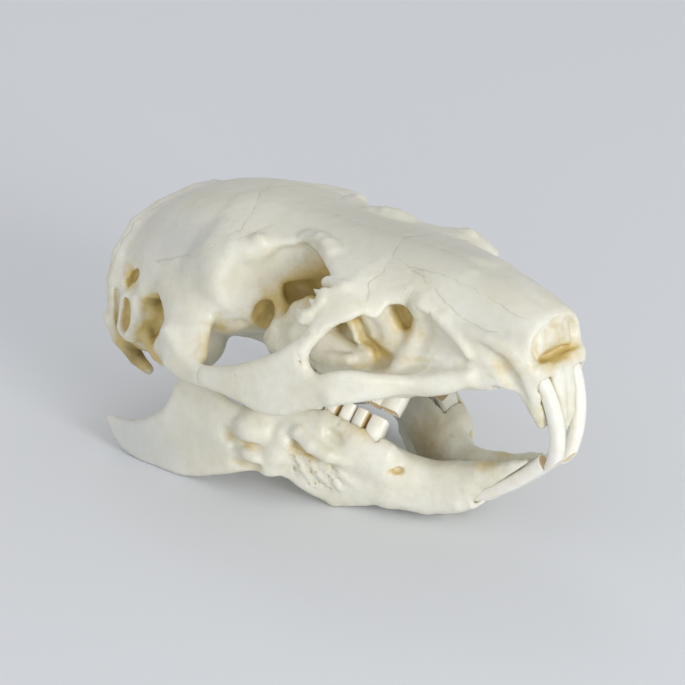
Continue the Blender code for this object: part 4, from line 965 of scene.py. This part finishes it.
def patch_tone(points, patches):
    """Sum of soft patches at every point, each one fading from its centre outwards."""
    spots = np.stack([points[:, 0], np.abs(points[:, 1]), points[:, 2]], 1)
    tone = np.zeros(len(points))
    for centre, radii, strength in patches:
        apart = np.sum(((spots - centre) / radii) ** 2, axis=1)
        tone += strength * np.exp(-apart * 1.2)
    return tone


# Finished bones

# Unevenness of a bone's skin: how high, how fine, and the layers of its noise
GRAIN = 0.05
GRAIN_SCALE = 0.55
GRAIN_LAYERS = (0.8, 2.2, 3)

# Groove along a seam
GROOVE_DEPTH = 0.04
GROOVE_WIDTH = 0.35


def add_object(name, data):
    made = bpy.data.objects.new(name, data)
    bpy.context.scene.collection.objects.link(made)
    return made


def add_bone(name, node, bone, look):
    """The bone's skin as a smooth mesh, with its hollows, seams and tones noted at every point."""
    whole, low = both_halves(bone)
    unpinch(whole)
    points, quads = skin(whole, low, bone.step)
    for _ in range(2):
        way = outward(whole, low, bone.step, points)
        points -= way * np.clip(sampled(whole, low, bone.step, points), -0.1, 0.1)[:, None]
    # How deep each point lies in a hollow, the mask of the painted shade there
    notes = {"hollow": hollowness(whole, low, bone.step, points, way)}
    notes["seam"], notes["seam_near"] = seam_distances(points, way)
    notes.update((key, patch_tone(points, patches)) for key, patches in PATCHES.items())
    swell = np.array([noise.fractal(Vector(p) * GRAIN_SCALE, *GRAIN_LAYERS) for p in points])
    groove = GROOVE_DEPTH * np.exp(-(notes["seam_near"] / GROOVE_WIDTH) ** 2)
    swell = GRAIN * (1 + notes["rough"]) * swell - groove
    points += way * swell[:, None]
    points[:, 2] = np.maximum(points[:, 2], 0.0)
    mesh = bpy.data.meshes.new(name)
    mesh.from_pydata((points - (MIDDLE, 0, 0)).tolist(), [], quads.tolist())
    mesh.transform(Matrix.Scale(MM, 4))
    for key, values in notes.items():
        mesh.attributes.new(key, "FLOAT", "POINT").data.foreach_set("value", values)
    keep_largest(mesh)
    mesh.materials.append(look)
    mesh.shade_smooth()
    piece = add_object(name, mesh)
    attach(piece, "root")
    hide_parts(node)


# Finished teeth

# Places of a tooth's materials in its mesh: enamel is the first
DENTINE, FOLD_SHADE = 1, 2

# Steps along the arc of a tooth, and width of the enamel round its worn end
INCISOR_STEPS, INCISOR_BAND = 30, 0.15
CHEEK_STEPS, CHEEK_BAND = 16, 0.1

# Where painted shade lies in a cheek tooth's deep fold: from and to how far off the tooth's middle line,
# and how far to either side
FOLD_DEEP, FOLD_OPEN, FOLD_HALF = -0.6, 1.02, 0.34

# Edges of a tooth: sharp from this angle, and rounded by so much
SHARP = math.radians(50)
EDGE_ROUND = 0.07


def add_fold_shade(shape, radius, fold):
    """Painted shade on the walls of a cheek tooth's deep fold, which lies at fold along the row."""
    for face in shape.faces:
        spot = face.calc_center_median()
        deep = math.hypot(spot.y, spot.z) - radius
        in_fold = FOLD_DEEP < deep < FOLD_OPEN and abs(spot.x - fold) < FOLD_HALF
        if in_fold and face.material_index != DENTINE:
            face.material_index = FOLD_SHADE


def spun_tooth(outline, radius, start, stop, steps, place, worn, band, side, fold=None):
    """A curved tooth: its outline spun about its own axis, worn off flat, and put in place."""
    shape = bmesh.new()
    ring = [shape.verts.new((u, radius + w, 0)) for u, w in outline]
    face = shape.faces.new(ring)
    first = Matrix.Rotation(math.radians(start), 4, "X")
    bmesh.ops.transform(shape, matrix=first, verts=shape.verts[:])
    bmesh.ops.spin(shape, geom=[face], cent=(0, 0, 0), axis=(1, 0, 0),
                   angle=math.radians(stop - start), steps=steps, use_duplicate=False)
    point, normal = worn
    bmesh.ops.bisect_plane(shape, geom=shape.verts[:] + shape.edges[:] + shape.faces[:],
                           dist=1e-5, plane_co=point, plane_no=normal, clear_outer=True)
    rim = [e for e in shape.edges if e.is_boundary]
    top = bmesh.ops.holes_fill(shape, edges=rim, sides=0)["faces"]
    bmesh.ops.recalc_face_normals(shape, faces=shape.faces[:])
    bmesh.ops.inset_individual(shape, faces=top, thickness=band, depth=-0.5 * band)
    for face in top:
        face.material_index = DENTINE
    if fold is not None:
        add_fold_shade(shape, radius, fold)
    to_metres = Matrix.Scale(MM, 4) @ Matrix.Translation((-MIDDLE, 0, 0))
    mirror = Matrix.Diagonal((1, side, 1, 1))
    bmesh.ops.transform(shape, matrix=to_metres @ mirror @ place, verts=shape.verts[:])
    bmesh.ops.recalc_face_normals(shape, faces=shape.faces[:])
    return shape


def add_tooth(shape, node, looks):
    """A spun tooth as a piece of its own, with its edges rounded."""
    name = node + "_tooth"
    mesh = bpy.data.meshes.new(name)
    shape.to_mesh(mesh)
    shape.free()
    for look in looks:
        mesh.materials.append(look)
    mesh.shade_smooth()
    mesh.set_sharp_from_angle(angle=SHARP)
    piece = add_object(name, mesh)
    soft = piece.modifiers.new("Rounded edges", "BEVEL")
    soft.width = EDGE_ROUND * MM
    soft.segments = 2
    soft.limit_method = "ANGLE"
    soft.angle_limit = SHARP
    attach(piece, "root")
    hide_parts(node)


def add_teeth(looks):
    for side, word in ((-1, "right"), (1, "left")):
        for jaw, (centre, out, tilt, yaw, radius, root, tip, worn) in INCISORS.items():
            place = incisor_place(centre, out, tilt, yaw)
            tooth = spun_tooth(INCISOR_OUTLINE, radius, root, tip, INCISOR_STEPS, place, worn,
                               INCISOR_BAND, side)
            add_tooth(tooth, f"{jaw}_incisor_{word}", looks)
        for jaw, (origin, spread, rise, radius, root, tip, worn) in ROWS.items():
            place = row_place(origin, spread, rise)
            for n, kind in enumerate(CHEEK_NAMES):
                tooth = spun_tooth(cheek_outline(n), radius, root, tip, CHEEK_STEPS, place, worn,
                                   CHEEK_BAND, side, -n * CHEEK_PITCH)
                add_tooth(tooth, f"{jaw}_{kind}_{word}", looks)


# Materials

# Tones of the bone
CREAM = (0.77, 0.74, 0.60)
IVORY = (0.84, 0.825, 0.73)
# Grey of the painted shade on the roof and low on the jaw
ROOF_SHADE_GREY = (0.60, 0.595, 0.51)
COOL_GREY = (0.62, 0.64, 0.64)
WARM_GREY = (0.66, 0.625, 0.47)
# Ochre of stains and painted shade, and brown painted shade for the deepest hollows
STAIN_AND_SHADE_OCHRE = (0.65, 0.50, 0.18)
DEEP_SHADE_BROWN = (0.25, 0.175, 0.035)
SEAM_BROWN = (0.47, 0.40, 0.24)

# Materials of the teeth in their order in the mesh: pale tone, deep tone and roughness
TOOTH_TONES = {
    "enamel": ((0.93, 0.915, 0.85), (0.88, 0.85, 0.73), 0.24),
    "dentine": ((0.78, 0.66, 0.42), (0.66, 0.50, 0.28), 0.5),
    # Painted shade, yellow-brown, in the deep folds of the cheek teeth
    "fold_shade": ((0.62, 0.47, 0.20), (0.74, 0.62, 0.36), 0.5),
}

# Light that bone and teeth let in: share of it, and how deep it goes
GLOW = 0.1
BONE_GLOW_DEPTH = 0.8
BONE_GLOW_TONE = (1.0, 0.75, 0.4)
TOOTH_GLOW_DEPTH = 0.6


class Look:
    """A material in the making: every call adds a node and returns what comes out of it."""

    def __init__(self, name, roughness, glow_depth):
        self.made = bpy.data.materials.new(name)
        self.made.use_nodes = True
        self.tree = self.made.node_tree
        self.shader = self.tree.nodes["Principled BSDF"]
        self.feed(self.shader, {"Roughness": roughness, "Subsurface Weight": GLOW,
                                "Subsurface Scale": glow_depth * MM})
        place = self.node("TexCoord").outputs["Object"]
        self.spot = self.node("VectorMath", {0: place, "Scale": 1 / MM}, operation="SCALE").outputs[0]

    def feed(self, node, values):
        """Give sockets of a node their values: outputs of other nodes are linked to them."""
        for key, value in values.items():
            if isinstance(value, bpy.types.NodeSocket):
                self.tree.links.new(value, node.inputs[key])
            else:
                node.inputs[key].default_value = value

    def node(self, kind, values=None, **settings):
        made = self.tree.nodes.new("ShaderNode" + kind)
        for key, value in settings.items():
            setattr(made, key, value)
        self.feed(made, values or {})
        return made

    def attribute(self, name):
        return self.node("Attribute", attribute_name=name).outputs["Fac"]

    def noise(self, scale, detail=3.0, rough=0.55):
        values = {"Scale": scale, "Detail": detail, "Roughness": rough, "Vector": self.spot}
        return self.node("TexNoise", values).outputs["Fac"]

    def ramp(self, source, low, high, start=0.0, stop=1.0):
        values = {"Value": source, "From Min": low, "From Max": high, "To Min": start, "To Max": stop}
        return self.node("MapRange", values).outputs["Result"]

    def maths(self, operation, a, b=0.0):
        return self.node("Math", {0: a, 1: b}, operation=operation).outputs[0]

    def times(self, a, b):
        return self.maths("MULTIPLY", a, b)

    def mix(self, factor, a, b):
        """The second colour over the first, by the factor; a plain colour is a tuple."""
        a, b = [(*tone, 1) if isinstance(tone, tuple) else tone for tone in (a, b)]
        return self.node("Mix", {0: factor, 6: a, 7: b}, data_type="RGBA").outputs[2]

    def bump(self, height, distance, after=None):
        values = {"Strength": 1.0, "Distance": distance * MM, "Height": height}
        if after:
            values["Normal"] = after
        return self.node("Bump", values).outputs["Normal"]

    def finish(self, colour, normal):
        self.feed(self.shader, {"Base Color": colour, "Normal": normal})
        return self.made


def bone_look():
    look = Look("bone", 0.38, BONE_GLOW_DEPTH)
    look.shader.inputs["Subsurface Radius"].default_value = BONE_GLOW_TONE
    clouds = look.noise(0.16, 4.0)
    mottle = look.noise(0.9, 4.0, 0.65)
    fine = look.noise(5.0, 3.0, 0.7)

    # Cream bone, greyer on the roof and low on the jaw by painted shade, bluer on thin plates, with warm
    # grey speckles
    colour = look.mix(look.ramp(clouds, 0.35, 0.65), CREAM, IVORY)
    colour = look.mix(look.times(look.attribute("shade"), 0.85), colour, ROOF_SHADE_GREY)
    colour = look.mix(look.times(look.attribute("cool"), 0.8), colour, COOL_GREY)
    speckle = look.times(look.ramp(mottle, 0.45, 0.75), 0.35)
    colour = look.mix(speckle, colour, WARM_GREY)

    # Stains and painted shade in the hollows: ochre, then brown painted shade where they are deepest
    depth = look.maths("ADD", look.times(look.attribute("hollow"), 0.40), look.attribute("stain_and_shade"))
    depth = look.maths("ADD", depth, look.ramp(mottle, 0.25, 0.75, -0.16, 0.16))
    colour = look.mix(look.ramp(depth, 0.25, 0.85, 0.0, 0.9), colour, STAIN_AND_SHADE_OCHRE)
    colour = look.mix(look.ramp(depth, 1.2, 2.2, 0.0, 0.9), colour, DEEP_SHADE_BROWN)

    # Seams, thin, jagged and broken
    jagged = look.maths("ADD", look.attribute("seam"), look.ramp(fine, 0.3, 0.7, -0.5, 0.5))
    line = look.ramp(look.maths("ABSOLUTE", jagged), 0.5, 1.4, 1.0, 0.0)
    line = look.times(line, look.ramp(look.attribute("seam_near"), 0.3, 0.6, 1.0, 0.0))
    line = look.times(line, look.ramp(look.noise(0.35, 2.0), 0.35, 0.55, 0.25, 1.0))
    colour = look.mix(look.times(line, 0.24), colour, SEAM_BROWN)

    # Pores, most where the bone is rough, tinted ochre as stain and painted shade
    cells = look.node("TexVoronoi", {"Scale": 1.7, "Randomness": 1.0, "Vector": look.spot})
    pore = look.ramp(cells.outputs["Distance"], 0.10, 0.28, 1.0, 0.0)
    pore = look.times(pore, look.ramp(look.noise(0.7, 2.0), 0.48, 0.60))
    pore = look.times(pore, look.ramp(look.attribute("rough"), 0.3, 0.8, 0.06, 1.0))
    colour = look.mix(look.times(pore, 0.75), colour, STAIN_AND_SHADE_OCHRE)

    # Fine relief: uneven skin, grain, pores and seams
    rough = look.ramp(look.attribute("rough"), 0.0, 1.0, 0.35, 1.0)
    normal = look.bump(look.times(mottle, rough), 0.12)
    normal = look.bump(fine, 0.02, normal)
    normal = look.bump(look.times(pore, -1.0), 0.2, normal)
    normal = look.bump(look.times(line, -1.0), 0.04, normal)
    return look.finish(colour, normal)


def tooth_look(name, pale, deep, roughness):
    look = Look(name, roughness, TOOTH_GLOW_DEPTH)
    colour = look.mix(look.ramp(look.noise(0.8), 0.35, 0.7), pale, deep)
    normal = look.bump(look.noise(2.4), 0.02)
    return look.finish(colour, normal)


# Studio

# Camera: where it stands round the skull and how far off, where it looks, and how long its lens is
# in pixels of the photograph
AZIMUTH, ELEVATION, DISTANCE = 42.5, 23.3, 450.0
TARGET = Vector((-1.3 - MIDDLE, 0, 17.3))
PHOTO_PIXELS = 685
LENS_PIXELS = 3600
SENSOR = 36

# Soft lights: azimuth, elevation, distance and size in metres, and power
LIGHTS = {
    "key": (74, 17, 0.7, 0.26, 2.2),
    "front": (36, 14, 0.7, 0.26, 0.4),
    "rear": (230, 45, 0.8, 0.3, 0.3),
}
SKY = (0.97, 0.98, 1.0, 1)
SKY_STRENGTH = 0.60

# Floor: colour, half size in metres, and how far it lies below the skull
FLOOR = (0.80, 0.82, 0.85, 1)
FLOOR_HALF = 1.5
FLOOR_BELOW = 0.02


def towards(azimuth, elevation):
    """The way from the skull to a place round it, and the turn of what looks back from there."""
    a, e = math.radians(azimuth), math.radians(elevation)
    back = Vector((math.sin(a) * math.cos(e), -math.cos(a) * math.cos(e), math.sin(e)))
    return back, back.to_track_quat("Z", "Y").to_euler()


def add_camera():
    lens = bpy.data.cameras.new("camera")
    lens.sensor_width = SENSOR
    lens.lens = SENSOR * LENS_PIXELS / PHOTO_PIXELS
    lens.clip_start = 0.01
    camera = add_object("camera", lens)
    back, camera.rotation_euler = towards(AZIMUTH, ELEVATION)
    camera.location = (TARGET + back * DISTANCE) * MM
    bpy.context.scene.camera = camera


def add_light(name, azimuth, elevation, distance, size, power):
    lamp = bpy.data.lights.new(name, "AREA")
    lamp.shape = "DISK"
    lamp.size = size
    lamp.energy = power
    light = add_object(name, lamp)
    back, light.rotation_euler = towards(azimuth, elevation)
    light.location = TARGET * MM + back * distance


def add_floor():
    shape = bmesh.new()
    bmesh.ops.create_grid(shape, x_segments=1, y_segments=1, size=FLOOR_HALF)
    mesh = bpy.data.meshes.new("floor")
    shape.to_mesh(mesh)
    shape.free()
    look = bpy.data.materials.new("floor")
    look.use_nodes = True
    shader = look.node_tree.nodes["Principled BSDF"]
    shader.inputs["Base Color"].default_value = FLOOR
    shader.inputs["Roughness"].default_value = 0.8
    mesh.materials.append(look)
    floor = add_object("floor", mesh)
    floor.location.z = -FLOOR_BELOW * MM


def add_studio():
    world = bpy.data.worlds.new("studio")
    world.use_nodes = True
    sky = world.node_tree.nodes["Background"]
    sky.inputs["Color"].default_value = SKY
    sky.inputs["Strength"].default_value = SKY_STRENGTH
    bpy.context.scene.world = world
    bpy.context.scene.view_settings.view_transform = "Standard"
    for name, values in LIGHTS.items():
        add_light(name, *values)
    add_floor()


def main():
    add_camera()
    cranium = cranium_field(CRANIUM_GRID)
    cranium_details(cranium)
    cut_sockets(cranium, "upper")
    mandible = mandible_field(MANDIBLE_GRID)
    mandible_details(mandible)
    cut_sockets(mandible, "lower")
    mandible.cut(half_space((0, 0, 0), (0, 0, -1)), 0.0)
    bone = bone_look()
    add_bone("cranium_bone", "cranium", cranium, bone)
    add_bone("mandible_bone", "mandible", mandible, bone)
    add_teeth([tooth_look(name, *tones) for name, tones in TOOTH_TONES.items()])
    add_studio()


main()
